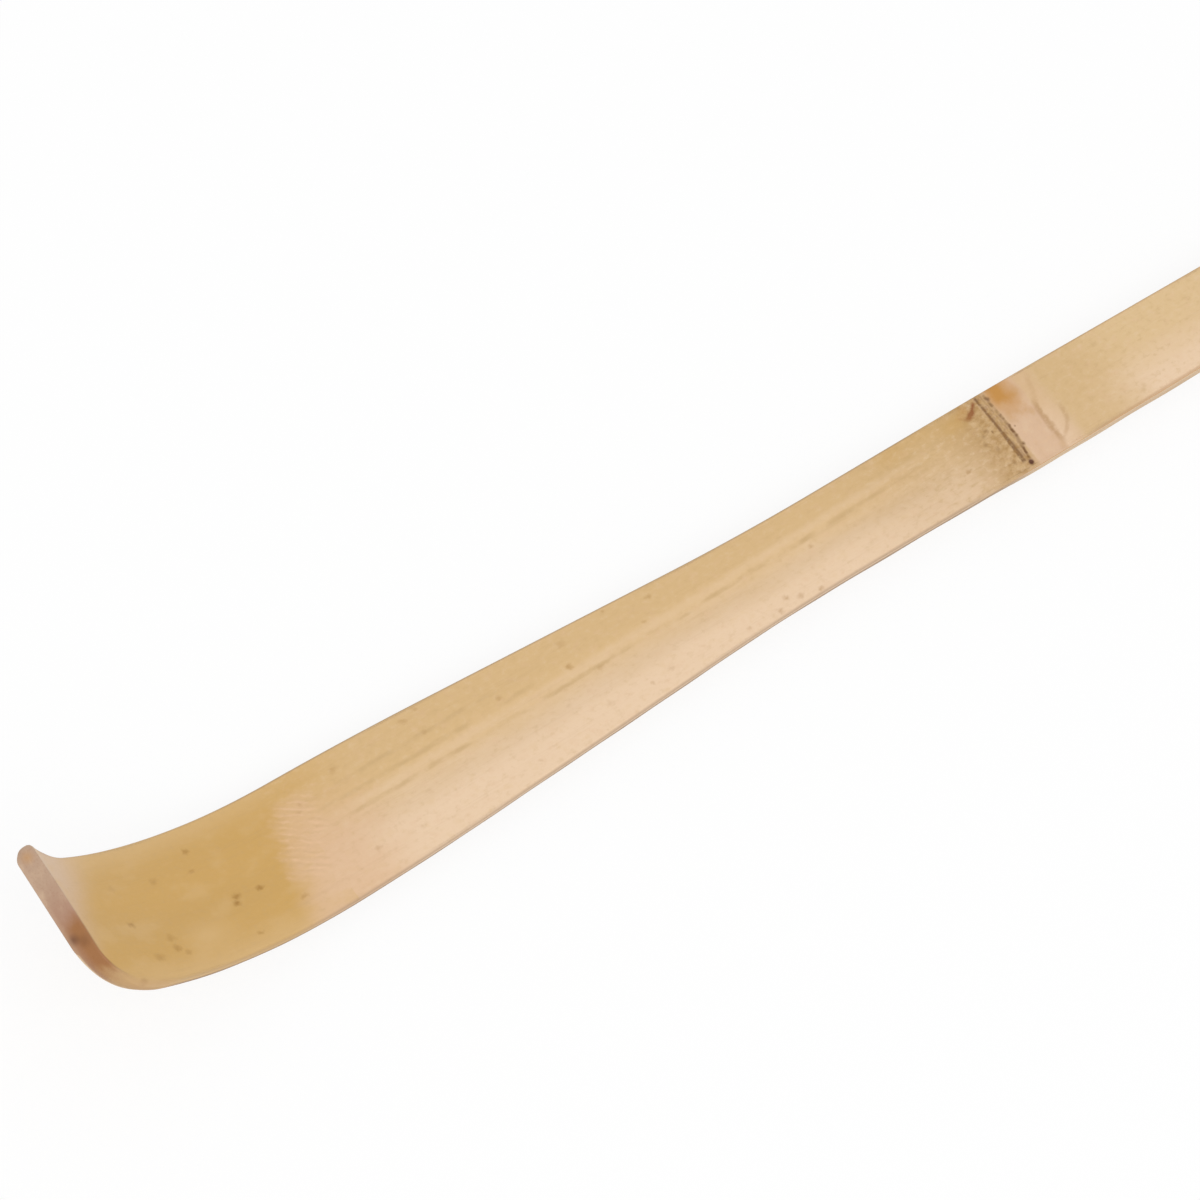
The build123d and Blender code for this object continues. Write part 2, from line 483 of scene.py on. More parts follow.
# Spots of the tip's cut face: across, depth and radius in millimetres, then strength.
FACE_DARK_SPOTS = ((-0.85, 1.05, 0.6, 0.6), (-1.3, 0.5, 0.7, 0.3))
FACE_ORANGE_SPOTS = ((5.55, 0.7, 0.7, 0.4),)

# Wrinkles at the bend: the patch's ends along its slant, its ends across, and the strokes.
WRINKLE_SLANT = 0.35
WRINKLE_ALONG = (62.9, 66.2)
WRINKLE_ACROSS = (-2.3, 3.4)
WRINKLE_HEADING = radians(32)
WRINKLE_PITCH = 0.5

# Crease in the groove: where it runs across the stem, at places along it, and where it starts and
# stops. Its relief stops a little sooner.
CREASE_ALONG = (3.5, 10.0, 30.0, 62.0)
CREASE_ACROSS = (1.05, 0.95, 0.47, 0.25)
CREASE_RISE = (4.0, 9.0)
CREASE_FALL = (58.0, 63.0)
CREASE_RELIEF_FALL = (57.0, 62.5)
# Half widths of its line of painted shade, at the core and at the edge, and the painted highlight beside it.
CREASE_LINE = (0.04, 0.26)
CREASE_HIGHLIGHT = (0.3, 0.8, 0.25)
# Fainter creases beside it, in painted shade: half widths of their line, softness of their ends, and the
# place across, start, stop and strength of each.
SIDE_CREASE_LINE = (0.04, 0.28)
SIDE_CREASE_FADE = 2.0
SIDE_CREASES = (
    (1.57, 43.0, 61.5, 0.8),
    (2.65, 43.0, 61.5, 0.7),
    (0.62, 13.0, 23.0, 0.6),
    (1.9, 3.0, 10.0, 0.5),
    (0.5, 3.0, 9.0, 0.6),
)
# Where the mealy dots below the scar and the dashes past them start and stop.
DOTS_RISE = (-0.7, -0.2)
DOTS_FALL = (0.6, 3.6)
DASHES_RISE = (0.2, 1.0)
DASHES_FALL = (4.0, 14.0)


def crease_place(graph, along):
    """The crease's place across the stem, in straight stretches."""
    place = CREASE_ACROSS[0]
    stretches = zip(CREASE_ALONG, CREASE_ALONG[1:], CREASE_ACROSS, CREASE_ACROSS[1:])
    for start, stop, first, last in stretches:
        reached = graph.node(
            "ShaderNodeMapRange", {}, {"Value": along, "From Min": start, "From Max": stop}
        )
        place = reached * (last - first) + place
    return place


def skin_base(graph, vector, along, across):
    """Straw skin with painted sheen on its near half and painted shade on its far half, turning golden where
    it was toasted.
    """
    colours = bpy.context.scene.scoop_colours
    drift = graph.shake(vector, (0.12, 0.5, 0), 3.0)
    patchy = graph.shake(vector, (0.35, 0.9, 0), 3.0)
    # Painted sheen on the near half, painted shade on the far half.
    to_far = graph.fade(across + drift * 1.8 + patchy * 1.2, *FAR_SHADE_RISE)
    base = graph.mix(to_far, colours.near_straw_sheen, colours.deep_straw_and_shade)
    # The handle is lighter, but duller beside the node.
    on_handle = 1 - graph.fade(along, *HANDLE_FALL)
    base = graph.tint(base, on_handle * to_far * 0.6, colours.handle_pale)
    beside = graph.fade(along + drift * 4 + patchy * 3, *DULL_RISE) * (1 - graph.fade(along, *DULL_FALL))
    base = graph.tint(base, beside * 0.9, colours.handle_shade)
    # Mealy olive skin below the scar, fading up the stem.
    below_scar = graph.fade(along, *SCAR_RISE)
    base = graph.tint(base, below_scar * (1 - graph.fade(along, *OLIVE_FALL)) * 0.3, colours.olive)
    mealy = below_scar * (1 - graph.fade(along + drift * 3 + patchy * 2, *MEALY_FALL))
    base = graph.tint(base, mealy * 0.85, colours.olive)
    # Flushed skin before the bend, then toasted skin, whose border runs slanting over the bend.
    warm = graph.fade(along + drift * 3 + patchy * 2, *FLUSH_RISE)
    warmed = graph.mix(graph.fade(across, *FAR_FLUSH_RISE), colours.flush, colours.toasted_rim)
    base = graph.tint(base, warm * 0.85, warmed)
    gold = graph.mix(graph.fade(abs(across), *GOLD_PALING), colours.toasted, colours.toasted_rim)
    ragged = graph.shake(vector, (0.7, 2.4, 0), 3.0) * graph.fade(across, *RAGGED_RISE)
    border = along + across * TOAST_SLANT + drift * 1.6 + patchy * 1.6 + ragged * 2.2
    base = graph.tint(base, graph.fade(border, *SINGED_RISE) * 0.22, colours.toasted)
    toast = graph.fade(border, *TOAST_RISE)
    far_edge = graph.fade(across + patchy, *FAR_TOAST_EDGE) * graph.fade(along, *FAR_TOAST_RISE)
    base = graph.tint(base, graph.sum("MAXIMUM", toast, far_edge * 0.8), gold)
    # Painted pale sheen inside the tip's far corner, where its upturned lip faces the light.
    sheen = graph.fade(along + across * SHEEN_SLANT + drift * 1.5, *SHEEN_RISE)
    return graph.tint(base, sheen * 0.85, colours.tip_sheen_and_rim)


def fine_fibres(graph, vector):
    """Fine lengthwise fibres of the skin, about 0 to 1."""
    broad = graph.noise(vector, (0.05, 1.8, 0), 3.0)
    narrow = graph.noise(vector, (0.22, 9.0, 0), 3.0, 0.6)
    return broad * 0.5 + narrow * 0.5


def shade_by_fibres(graph, base, fibres, vector, along):
    """Slightly darker lines along the fibres, a broad blush, and a mottling.

    The mottling is strongest below the scar. Toasted skin is calmer.
    """
    colours = bpy.context.scene.scoop_colours
    darker = graph.fade(fibres, 0.5, 0.72)
    base = graph.tint(base, darker * 0.15, colours.fibre)
    mottling = graph.noise(vector, (1.5, 2.1, 0), 4.0, 0.65)
    untoasted = 1 - graph.fade(along, *CALMER_RISE) * 0.8
    strength = graph.band(along, *MOTTLED_STEM) * 0.22 + graph.fade(along, *MOTTLED_HANDLE) * 0.1 + 0.24
    base = graph.tint(base, graph.fade(mottling, 0.5, 0.72) * strength, colours.crease)
    base = graph.tint(base, graph.fade(mottling, 0.5, 0.28) * strength * untoasted, colours.flesh)
    blush = graph.noise(vector, (1.1, 1.4, 0), 3.0, 0.6)
    base = graph.tint(base, graph.fade(blush, 0.5, 0.72) * untoasted * 0.24, colours.flush)
    return graph.tint(base, graph.fade(blush, 0.5, 0.28) * untoasted * 0.2, colours.deep_straw_and_shade)


# Edge of the tip's near corner and of the whole tip, along and across the strip.
CORNER_ALONG = (81.0, 84.0)
CORNER_ACROSS = (-3.4, -4.4)
TIP_ALONG = (86.2, 88.0)
TIP_ACROSS = (-5.0, -4.0)
# Rim of the skin: how far in its painted shade reaches, in general and at the near corner, and how far in it
# turns to end grain at the tip.
RIM_FALL = (0.22, 0.02)
CORNER_RIM_FALL = (0.5, 0.0)
TIP_RIM_FALL = (0.0, 0.48)
# Where it is fainter along the strip, beside the node and on the toasted part, and where it loses
# the handle's orange.
FAINT_RIM = (-6.0, 5.0, 1.5)
TOASTED_RIM_RISE = (64.0, 70.0)
ORANGE_RIM_FALL = (-9.0, -5.0)


def near_corner(graph, along, across):
    """1 along the edge of the tip's near corner."""
    return graph.fade(along, *CORNER_ALONG) * graph.fade(across, *CORNER_ACROSS)


def skin_finish(name, add_marks):
    """Satin bamboo skin. add_marks adds the marks of one zone to its colour and height."""
    material, graph = new_finish(name)
    colours = bpy.context.scene.scoop_colours
    vector, along, across, depth = strip_coordinates(graph)
    base = skin_base(graph, vector, along, across)
    fibres = fine_fibres(graph, vector)
    base = shade_by_fibres(graph, base, fibres, vector, along)
    base, height = add_marks(graph, base, fibres, vector, along, across)
    # The skin's rim is a little darker with painted shade, least beside the node, and orange on the handle.
    # Its painted shade is deeper, in the fibre's colour, at the near corner; round the tip it turns to end
    # grain.
    rim = graph.node("ShaderNodeAttribute", {"attribute_name": "rim"}, {}, "Fac")
    at_corner = near_corner(graph, along, across)
    edge = graph.fade(rim, *RIM_FALL) * (1 - at_corner)
    strength = 0.6 - graph.band(along, *FAINT_RIM) * 0.45 - graph.fade(along, *TOASTED_RIM_RISE) * 0.2
    greyer = graph.fade(along, *ORANGE_RIM_FALL) * 0.5 + 0.5
    rim_shade = graph.mix(greyer, colours.handle_line, colours.edge_shade)
    base = graph.tint(base, edge * strength, rim_shade)
    # Painted shade over the rounded rim of the near corner, in the fibre's colour.
    base = graph.tint(base, graph.fade(rim, *CORNER_RIM_FALL) * at_corner * 0.58, colours.fibre)
    ends, _ = end_colour(graph, along, across, depth)
    at_tip = graph.fade(along, *TIP_ALONG) * graph.fade(across, *TIP_ACROSS)
    base = graph.tint(base, (1 - graph.fade(rim, *TIP_RIM_FALL)) * at_tip, ends)
    pores = graph.noise(vector, (2.5, 6.0, 0), 2.0)
    roughness = pores * 0.16 + fibres * 0.1 + 0.36
    close_finish(graph, base, roughness, height, 0.03, 0.04)
    return material


def wandering(graph, vector, reach):
    """The coordinates, shaken a little so that marks get uneven outlines."""
    shaken = graph.node(
        "ShaderNodeTexNoise", {}, {"Vector": vector, "Scale": 2.3, "Detail": 2.0}, "Color"
    )
    centred = graph.node(
        "ShaderNodeVectorMath", {"operation": "SUBTRACT"}, {0: shaken, 1: (0.5, 0.5, 0.5)}
    )
    scaled = graph.stretch(centred, (reach, reach, 0))
    flat = graph.stretch(vector, (1, 1, 0))
    return graph.node("ShaderNodeVectorMath", {"operation": "ADD"}, {0: flat, 1: scaled})


def handle_marks(graph, base, fibres, vector, along, across):
    """Faint nicks on the handle."""
    colours = bpy.context.scene.scoop_colours
    nicks = graph.spots(wandering(graph, vector, 0.5), HANDLE_NICKS)
    return graph.tint(base, nicks, colours.crease), fibres


def stem_marks(graph, base, fibres, vector, along, across):
    """The crease and its fainter neighbours in painted shade, the painted highlight beside the crease, mealy
    dots below the scar, and specks.
    """
    colours = bpy.context.scene.scoop_colours
    shake = graph.shake(vector, (0.35, 0.35, 0))
    fine_shake = graph.shake(vector, (1.3, 1.3, 0))
    place = crease_place(graph, along) + shake * 0.3 + fine_shake * 0.2
    reach = graph.fade(along, *CREASE_RISE) * (1 - graph.fade(along, *CREASE_FALL))
    broken = graph.fade(graph.noise(vector, (0.45, 1.0, 0), 3.0), 0.34, 0.64)
    crease = graph.line(abs(across - place), *CREASE_LINE) * reach * broken
    # Painted shade in the crease, and a painted highlight beside it.
    base = graph.tint(base, crease * 0.56, colours.crease)
    light = graph.band(across - place, *CREASE_HIGHLIGHT) * reach
    base = graph.tint(base, light * 0.22, colours.near_straw_sheen)
    # Painted shade in the fainter creases.
    for side_place, start, stop, strength in SIDE_CREASES:
        gap = abs(across - side_place + shake * 0.3 + fine_shake * 0.15)
        side_reach = graph.band(along, start, stop, SIDE_CREASE_FADE)
        faint = graph.line(gap, *SIDE_CREASE_LINE) * side_reach * broken
        base = graph.tint(base, faint * (strength * 0.6), colours.crease)
    base = mealy_marks(graph, base, vector, along)
    shaken = wandering(graph, vector, 0.6)
    base = graph.tint(base, graph.spots(shaken, GOLDEN_PATCHES, 1.6), colours.toasted)
    base = graph.tint(base, graph.spots(shaken, STEM_SPECKS, 1.3) * 0.6, colours.speck)
    return wrinkle_marks(graph, base, vector, along, across), fibres - crease * 0.5


def mealy_marks(graph, base, vector, along):
    """Dark dots and lengthwise dashes below the scar, and the reddish hook."""
    colours = bpy.context.scene.scoop_colours
    near_scar = graph.fade(along, *DOTS_RISE) * (1 - graph.fade(along, *DOTS_FALL))
    dots = graph.noise(vector, (4.6, 5.2, 0), 3.0, 0.6)
    base = graph.tint(base, graph.fade(dots, 0.46, 0.74) * near_scar * 0.28, colours.scar_brown)
    patches = graph.noise(vector, (1.6, 2.2, 0), 3.0)
    base = graph.tint(base, graph.fade(patches, 0.46, 0.64) * near_scar * 0.36, colours.speck)
    base = graph.tint(base, graph.fade(patches, 0.48, 0.3) * near_scar * 0.4, colours.deep_straw_and_shade)
    dashes = graph.noise(vector, (0.9, 4.5, 0), 3.0)
    fading = graph.fade(along, *DASHES_RISE) * (1 - graph.fade(along, *DASHES_FALL))
    base = graph.tint(base, graph.fade(dashes, 0.52, 0.72) * fading * 0.42, colours.crease)
    shaken = wandering(graph, vector, 0.3)
    base = graph.tint(base, graph.spots(shaken, MEALY_SPECKS), colours.scar_brown)
    base = graph.tint(base, graph.spots(shaken, HOOK_BORDER), colours.node_stain)
    return graph.tint(base, graph.spots(shaken, HOOK_SPECKS), colours.hook_red)


def wrinkle_marks(graph, base, vector, along, across):
    """Painted highlights and painted shade in fine strokes on a pinkish patch, where the skin was folded by
    the bend.
    """
    colours = bpy.context.scene.scoop_colours
    shake = graph.shake(vector, (0.9, 0.9, 0))
    fine_shake = graph.shake(vector, (2.2, 2.2, 0))
    off = across * cos(WRINKLE_HEADING) - along * sin(WRINKLE_HEADING)
    run = along * cos(WRINKLE_HEADING) + across * sin(WRINKLE_HEADING)
    by_stroke = graph.node("ShaderNodeCombineXYZ", {}, {"X": off, "Y": run})
    uneven = graph.shake(by_stroke, (2.4, 0.7, 0))
    wave = graph.sum("SINE", (off + shake * 0.45 + fine_shake * 0.15) * (2 * pi / WRINKLE_PITCH))
    slant = along + across * WRINKLE_SLANT + shake * 2.0 + uneven * 2.4
    patch = graph.band(slant, *WRINKLE_ALONG, 1.0) * graph.band(across + shake, *WRINKLE_ACROSS, 0.7)
    base = graph.tint(base, patch * 0.45, colours.flush)
    strokes = patch * graph.fade(uneven + fine_shake * 0.4, -0.1, 0.12)
    # Painted highlight on the strokes' crests, painted shade in their troughs.
    base = graph.tint(base, graph.fade(wave, 0.0, 0.9) * strokes * 0.55, colours.wrinkle_highlight)
    return graph.tint(base, graph.fade(wave, -0.2, -0.95) * strokes * 0.22, colours.crease)


def toasted_marks(graph, base, fibres, vector, along, across):
    """Wrinkles at the bend and the scoop's brown specks."""
    colours = bpy.context.scene.scoop_colours
    base = wrinkle_marks(graph, base, vector, along, across)
    cloud = graph.noise(vector, (0.25, 0.5, 0), 3.0)
    base = graph.tint(base, graph.fade(cloud, 0.5, 0.7) * 0.5, colours.toasted_rim)
    shaken = wandering(graph, vector, 0.6)
    base = graph.tint(base, graph.spots(shaken, PALE_PATCHES, 2.2), colours.toasted_rim)
    specks = graph.spots(shaken, BOWL_SPECKS, 1.8)
    return graph.tint(base, specks * 0.85, colours.speck), fibres


# Stretches of the node along the strip: the pale ridge, the pink band, the orange stain and its halo.
PALE_RIDGE = (-5.0, -3.2, 0.6)
PINK_BAND = (-3.5, -0.75, 0.25)
HALO_BAND = (-3.2, -0.95, 0.45)
STAIN_BAND = (-2.5, -0.9, 0.6)
# Where the halo and the stain start across the strip.
HALO_RISE = (-0.1, 1.5)
STAIN_RISE = (1.0, 2.4)


def band_marks(graph, base, along, across, shake, fine_shake):
    """The pale ridge, the pink band below it, and the band's orange stain."""
    colours = bpy.context.scene.scoop_colours
    pale = graph.band(along + shake * 0.8, *PALE_RIDGE)
    base = graph.tint(base, pale * 0.4, colours.node_pink)
    pink = graph.band(along + shake * 0.6, *PINK_BAND)
    base = graph.tint(base, pink * 0.95, colours.node_pink)
    base = graph.tint(base, graph.fade(fine_shake, 0.0, 0.2) * pink * 0.4, colours.flush)
    base = graph.tint(base, graph.fade(shake, 0.0, 0.2) * pink * 0.3, colours.olive)
    base = graph.tint(base, graph.fade(shake, 0.0, -0.2) * pink * 0.3, colours.flesh)
    # The stain is strong along the far edge and fades across the band.
    shaken = along + shake * 0.8 + fine_shake * 0.3
    halo = graph.fade(across + shake * 1.6 + fine_shake * 0.8, *HALO_RISE) * graph.band(shaken, *HALO_BAND)
    base = graph.tint(base, halo * 0.45, colours.node_stain)
    stain = graph.fade(across + shake * 1.8, *STAIN_RISE) * graph.band(shaken, *STAIN_BAND)
    return graph.tint(base, stain, colours.node_stain)


# Furrows beside the ridge: place along the strip, half widths of the line, and ends across.
OUTER_FURROW, INNER_FURROW = -5.15, -3.5
OUTER_LINE, INNER_LINE = (0.04, 0.36), (0.06, 0.4)
OUTER_ENDS, INNER_ENDS = (-2.6, -0.4, 0.4), (-2.8, 2.9, 0.5)
# Past its turn across, the outer one curves on the near side, and the inner one leans on the far side,
# where it also thins out.
OUTER_TURN, OUTER_CURVE = -0.7, 0.33
INNER_TURN, INNER_LEAN = 0.2, 0.42
INNER_FALL = (0.2, 1.2)


def ridge_marks(graph, base, along, across, shake, fine_shake):
    """A furrow at the ridge's inner foot, and a short curved one that runs into it on the near side."""
    colours = bpy.context.scene.scoop_colours
    nearer = graph.sum("MINIMUM", across - OUTER_TURN, 0.0)
    outer_place = nearer * nearer * OUTER_CURVE + OUTER_FURROW
    outer = graph.line(abs(along - outer_place + shake * 0.4 + fine_shake * 0.2), *OUTER_LINE)
    outer = outer * graph.band(across, *OUTER_ENDS) * graph.fade(fine_shake, -0.35, 0.0)
    base = graph.tint(base, outer * 0.27, colours.speck)
    farther = graph.sum("MAXIMUM", across - INNER_TURN, 0.0)
    inner_gap = abs(along - INNER_FURROW + farther * INNER_LEAN + shake * 0.6 + fine_shake * 0.3)
    inner = graph.line(inner_gap, *INNER_LINE) * graph.band(across, *INNER_ENDS)
    inner = inner * graph.fade(fine_shake, -0.35, 0.05) * (1 - graph.fade(across, *INNER_FALL) * 0.75)
    return graph.tint(base, inner * 0.46, colours.speck)


# Skin between the scar's lines, along the strip, and the hairlines on it.
SCAR_BED = (-0.78, 0.3, 0.12)
HAIRLINES = (-0.42, -0.14)
# Half widths of the scar's lines and of the hairlines, and the lines' ends across.
SCAR_EDGES, HAIRLINE_EDGES = (0.03, 0.2), (0.02, 0.14)
SCAR_ENDS, BROKEN_ENDS = (-2.75, 3.35, 0.12), (-2.75, 3.3, 0.15)
# Towards the near side the dark line gets bolder and the broken one fuller. Past its turn, the broken
# one leans.
BOLDER_RISE, BOLDER_BY = (1.0, -1.6), 0.07
FULLER_RISE = (1.8, -0.2)
BROKEN_TURN, BROKEN_LEAN = -0.6, 0.16


def scar_marks(graph, base, vector, along, across, fine_shake):
    """The scar's dark line, a broken one before it and hairlines between. Also gives their depth."""
    colours = bpy.context.scene.scoop_colours
    between = graph.band(along + fine_shake * 0.2, *SCAR_BED)
    base = graph.tint(base, between * 0.75, colours.olive)
    base = graph.tint(base, between * graph.fade(fine_shake, -0.1, 0.12) * 0.4, colours.node_pink)
    inside = graph.band(across, *SCAR_ENDS)
    bolder = graph.fade(across, *BOLDER_RISE) * BOLDER_BY
    main_gap = abs(along - SCAR_LINE + across * SCAR_LEAN + fine_shake * 0.14) - bolder
    main_line = graph.line(main_gap, *SCAR_EDGES) * inside * graph.fade(fine_shake, -0.5, 0.0)
    base = graph.tint(base, main_line * 0.86, colours.scar_brown)
    patches = graph.fade(graph.noise(vector, (0.4, 1.6, 0), 3.0), 0.4, 0.58)
    lean = graph.sum("MINIMUM", across - BROKEN_TURN, 0.0) * BROKEN_LEAN
    broken_gap = abs(along - BROKEN_LINE + lean + fine_shake * 0.16)
    broken = graph.line(broken_gap, *SCAR_EDGES) * graph.band(across, *BROKEN_ENDS)
    fuller = graph.fade(across, *FULLER_RISE) * 0.3
    base = graph.tint(base, broken * (patches * 0.5 + fuller + 0.2), colours.scar_brown)
    for place in HAIRLINES:
        gap = abs(along - place + fine_shake * 0.3)
        hairline = graph.line(gap, *HAIRLINE_EDGES) * inside * graph.fade(fine_shake, -0.2, 0.1)
        base = graph.tint(base, hairline * 0.32, colours.scar_brown)
    return base, main_line * 0.4 + broken * 0.3


def node_marks(graph, base, fibres, vector, along, across):
    """The node's band, ridge and scar, with the mealy skin, the dots and the pit beside the scar."""
    colours = bpy.context.scene.scoop_colours
    shake = graph.shake(vector, (0.8, 0.8, 0), 3.0)
    fine_shake = graph.shake(vector, (2.0, 3.0, 0), 3.0)
    base = band_marks(graph, base, along, across, shake, fine_shake)
    base = ridge_marks(graph, base, along, across, shake, fine_shake)
    base, scar_depth = scar_marks(graph, base, vector, along, across, fine_shake)
    base = mealy_marks(graph, base, vector, along)
    dots = graph.spots(wandering(graph, vector, 0.25), NODE_SPECKS)
    base = graph.tint(base, dots, colours.scar_brown)
    base = graph.tint(base, graph.spots(vector, SCAR_PIT), colours.end_dark)
    grain = graph.noise(vector, (4.0, 4.0, 0), 2.0)
    return base, fibres * 0.6 + grain * 0.6 - scar_depth


# The node's septum on the underside, along the strip and in depth.
SEPTUM_ALONG = (-3.2, 0.6, 0.8)
SEPTUM_RISE = (1.2, 1.8)
# Depths on the handle's side: the end of the orange rind, the painted shade of the side and the lower edge's
# painted shadow.
ORANGE_RIND_FALL = (0.22, 0.42)
SHADED_SIDE = (0.42, 1.9, 0.1)
LOWER_EDGE_SHADOW = (1.35, 1.7, 0.15)
# Depths on the stem's side: where its painted shade starts and is full, how much deeper it is full at the
# near corner, where it starts at the skin, and where it ends. Last, where this side takes over from the
# handle's along the strip.
SIDE_SHADE_START, SIDE_SHADE_FULL, CORNER_DELAY = 0.16, 0.42, 0.2
SIDE_SHADE_FALL = (1.1, 1.4)
STEM_SIDE_RISE = (-2.0, 5.0)


def flesh_colour(graph, vector, along, across, depth):
    """Shaved flesh with its lengthwise fibres, below the skin, the orange rind and the painted shade of the
    upper edges.
    """
    colours = bpy.context.scene.scoop_colours
    fibres = graph.noise(vector, (0.1, 5.0, 5.0), 4.0, 0.65)
    base = graph.tint(colours.flesh, graph.fade(fibres, 0.45, 0.75) * 0.5, colours.fibre)
    dashes = graph.noise(vector, (0.35, 11.0, 11.0), 2.0)
    base = graph.tint(base, graph.fade(dashes, 0.62, 0.75) * 0.4, colours.fibre)
    septum = graph.band(along, *SEPTUM_ALONG) * graph.fade(depth, *SEPTUM_RISE)
    base = graph.tint(base, septum * 0.4, colours.fibre)
    # Handle: an orange rind, bare flesh in light painted shade and a painted shadow along the lower edge.
    handle = graph.tint(base, 1 - graph.fade(depth, *ORANGE_RIND_FALL), colours.handle_line)
    handle = graph.tint(handle, graph.band(depth, *SHADED_SIDE) * 0.28, colours.edge_shade)
    handle = graph.tint(handle, graph.band(depth, *LOWER_EDGE_SHADOW) * 0.4, colours.edge_shade)
    # Stem and scoop: the skin's colour, then grey painted shade down the side, in the fibre's colour at the
    # near corner.
    skin = skin_base(graph, vector, along, across)
    at_corner = near_corner(graph, along, across)
    rind = graph.mix(at_corner, colours.edge_shade, colours.fibre)
    rind_start = SIDE_SHADE_START - at_corner * SIDE_SHADE_START
    below_edge = graph.fade(depth, rind_start, at_corner * CORNER_DELAY + SIDE_SHADE_FULL)
    stem = graph.mix(below_edge * 0.85, skin, rind)
    stem = graph.mix(graph.fade(depth, *SIDE_SHADE_FALL), stem, base)
    return graph.mix(graph.fade(along, *STEM_SIDE_RISE), handle, stem), fibres + dashes * 0.5


# Past these places along the strip, a cut face is the tip's.
TIP_FACE_RISE = (60.0, 70.0)
# Places across the tip's face: its rosy part, the brown stain and the olive near corner.
ROSE_RISE = (4.0, 0.4)
FACE_STAIN = (-4.2, 0.3, 0.8)
FACE_OLIVE_RISE = (-3.0, -4.6)
# Depths on it: where the stain pales, and the pale rim along the underside.
FACE_STAIN_FALL = (0.6, 1.2)
PALE_RIM_RISE = (1.05, 1.45)
# Where the flesh turns to end grain round the tip's corners, along the strip and in depth.
TURN_ALONG = (86.4, 88.4)
TURN_DEPTH = (1.45, 1.25)


def end_colour(graph, along, across, depth):
    """Cut ends of the fibres: soft mottling and fine dots, and brown stains on the tip's face."""
    colours = bpy.context.scene.scoop_colours
    face = graph.node("ShaderNodeCombineXYZ", {}, {"X": across, "Y": depth})
    cloud = graph.noise(face, (0.8, 1.2, 0), 3.0)
    base = graph.tint(colours.end_grain, graph.fade(cloud, 0.45, 0.75) * 0.3, colours.flesh)
    dots = graph.noise(face, (6.0, 8.0, 0), 2.0)
    base = graph.tint(base, graph.fade(dots, 0.52, 0.7) * 0.4, colours.end_rose)
    at_tip = graph.fade(along, *TIP_FACE_RISE)
    sway = across + (cloud - 0.5) * 2.0
    base = graph.tint(base, graph.fade(sway, *ROSE_RISE) * at_tip * 0.8, colours.end_rose)
    # The stain is darkest beside the skin and pales towards the near corner.
    upper = 1 - graph.fade(depth, *FACE_STAIN_FALL) * 0.4
    stained = graph.band(sway, *FACE_STAIN) * upper * at_tip
    base = graph.tint(base, stained * 0.82, colours.end_stain)
    base = graph.tint(base, graph.fade(sway, *FACE_OLIVE_RISE) * at_tip * 0.85, colours.olive)
    base = graph.tint(base, graph.spots(face, FACE_DARK_SPOTS) * at_tip, colours.end_dark)
    base = graph.tint(base, graph.spots(face, FACE_ORANGE_SPOTS) * at_tip, colours.node_stain)
    # A paler rim along the underside.
    base = graph.tint(base, graph.fade(depth, *PALE_RIM_RISE) * at_tip * 0.3, colours.tip_sheen_and_rim)
    return base, dots * 0.5 + cloud


def flesh_finish(name):
    """Shaved sides and underside, turning to end grain round the tip's corners."""
    material, graph = new_finish(name)
    vector, along, across, depth = strip_coordinates(graph)
    base, height = flesh_colour(graph, vector, along, across, depth)
    ends, _ = end_colour(graph, along, across, depth)
    turned = graph.fade(along, *TURN_ALONG) * graph.fade(depth, *TURN_DEPTH)
    base = graph.mix(turned, base, ends)
    close_finish(graph, base, height * 0.2 + 0.5, height, 0.06, 0.0)
    return material


def end_finish(name):
    """Cut faces of the tip and of the handle's end."""
    material, graph = new_finish(name)
    _, along, across, depth = strip_coordinates(graph)
    base, height = end_colour(graph, along, across, depth)
    close_finish(graph, base, height * 0.1 + 0.55, height, 0.05, 0.0)
    return material


def finish(name, maker, *details):
    """A material by its name, made the first time it is asked for."""
    return bpy.data.materials.get(name) or maker(name, *details)


# Columns of the skin, steps round each of the strip's edges, and steps of each flat run.
SKIN_COLUMNS = 97
CORNER_STEPS = 5
RUN_STEPS = 4
# Faces of each side that the skin still covers: the rounded edge.
EDGE_FACES = RUN_STEPS - 2 + CORNER_STEPS
# How far the kinks in each size along the strip are eased, and in how many samples.
EASES = {
    "width": 6.0 * MM,
    "thickness": 4.0 * MM,
    "underside": 3.0 * MM,
    "groove": 2.0 * MM,
    "upright": 4.0 * MM,
    "bevel": 4.0 * MM,
    "near softening": 0.6 * MM,
    "far softening": 0.4 * MM,
    "facet softening": 1.0 * MM,
    "tip": 1.0 * MM,
}
EASE_SAMPLES = 9
# Spare depth of the blank that is planed off where the strip lies on the table.
PLANING = 0.3 * MM
# Fullness of the tip's corners, 2 for an ellipse, and how late its twist and flare grow.
NEAR_FULLNESS = 2.3
FAR_FULLNESS = 2.0
TIP_LATENESS = 1.6
# Share of the skin's crown that is lost at the tip.
CROWN_LOSS = 0.8
# How far the skin's columns stay from its edges, in roundings of the edge.
EDGE_MARGIN = 1.3
# Distances from the tip where the near edge's rounding starts to grow, is full, starts to shrink
# and has shrunk, and where the far edge's rounding starts to grow.
NEAR_SOFT_AT = (8.0 * MM, 5.5 * MM, 3.0 * MM, 1.5 * MM)
FAR_SOFT_AT = 2.6 * MM


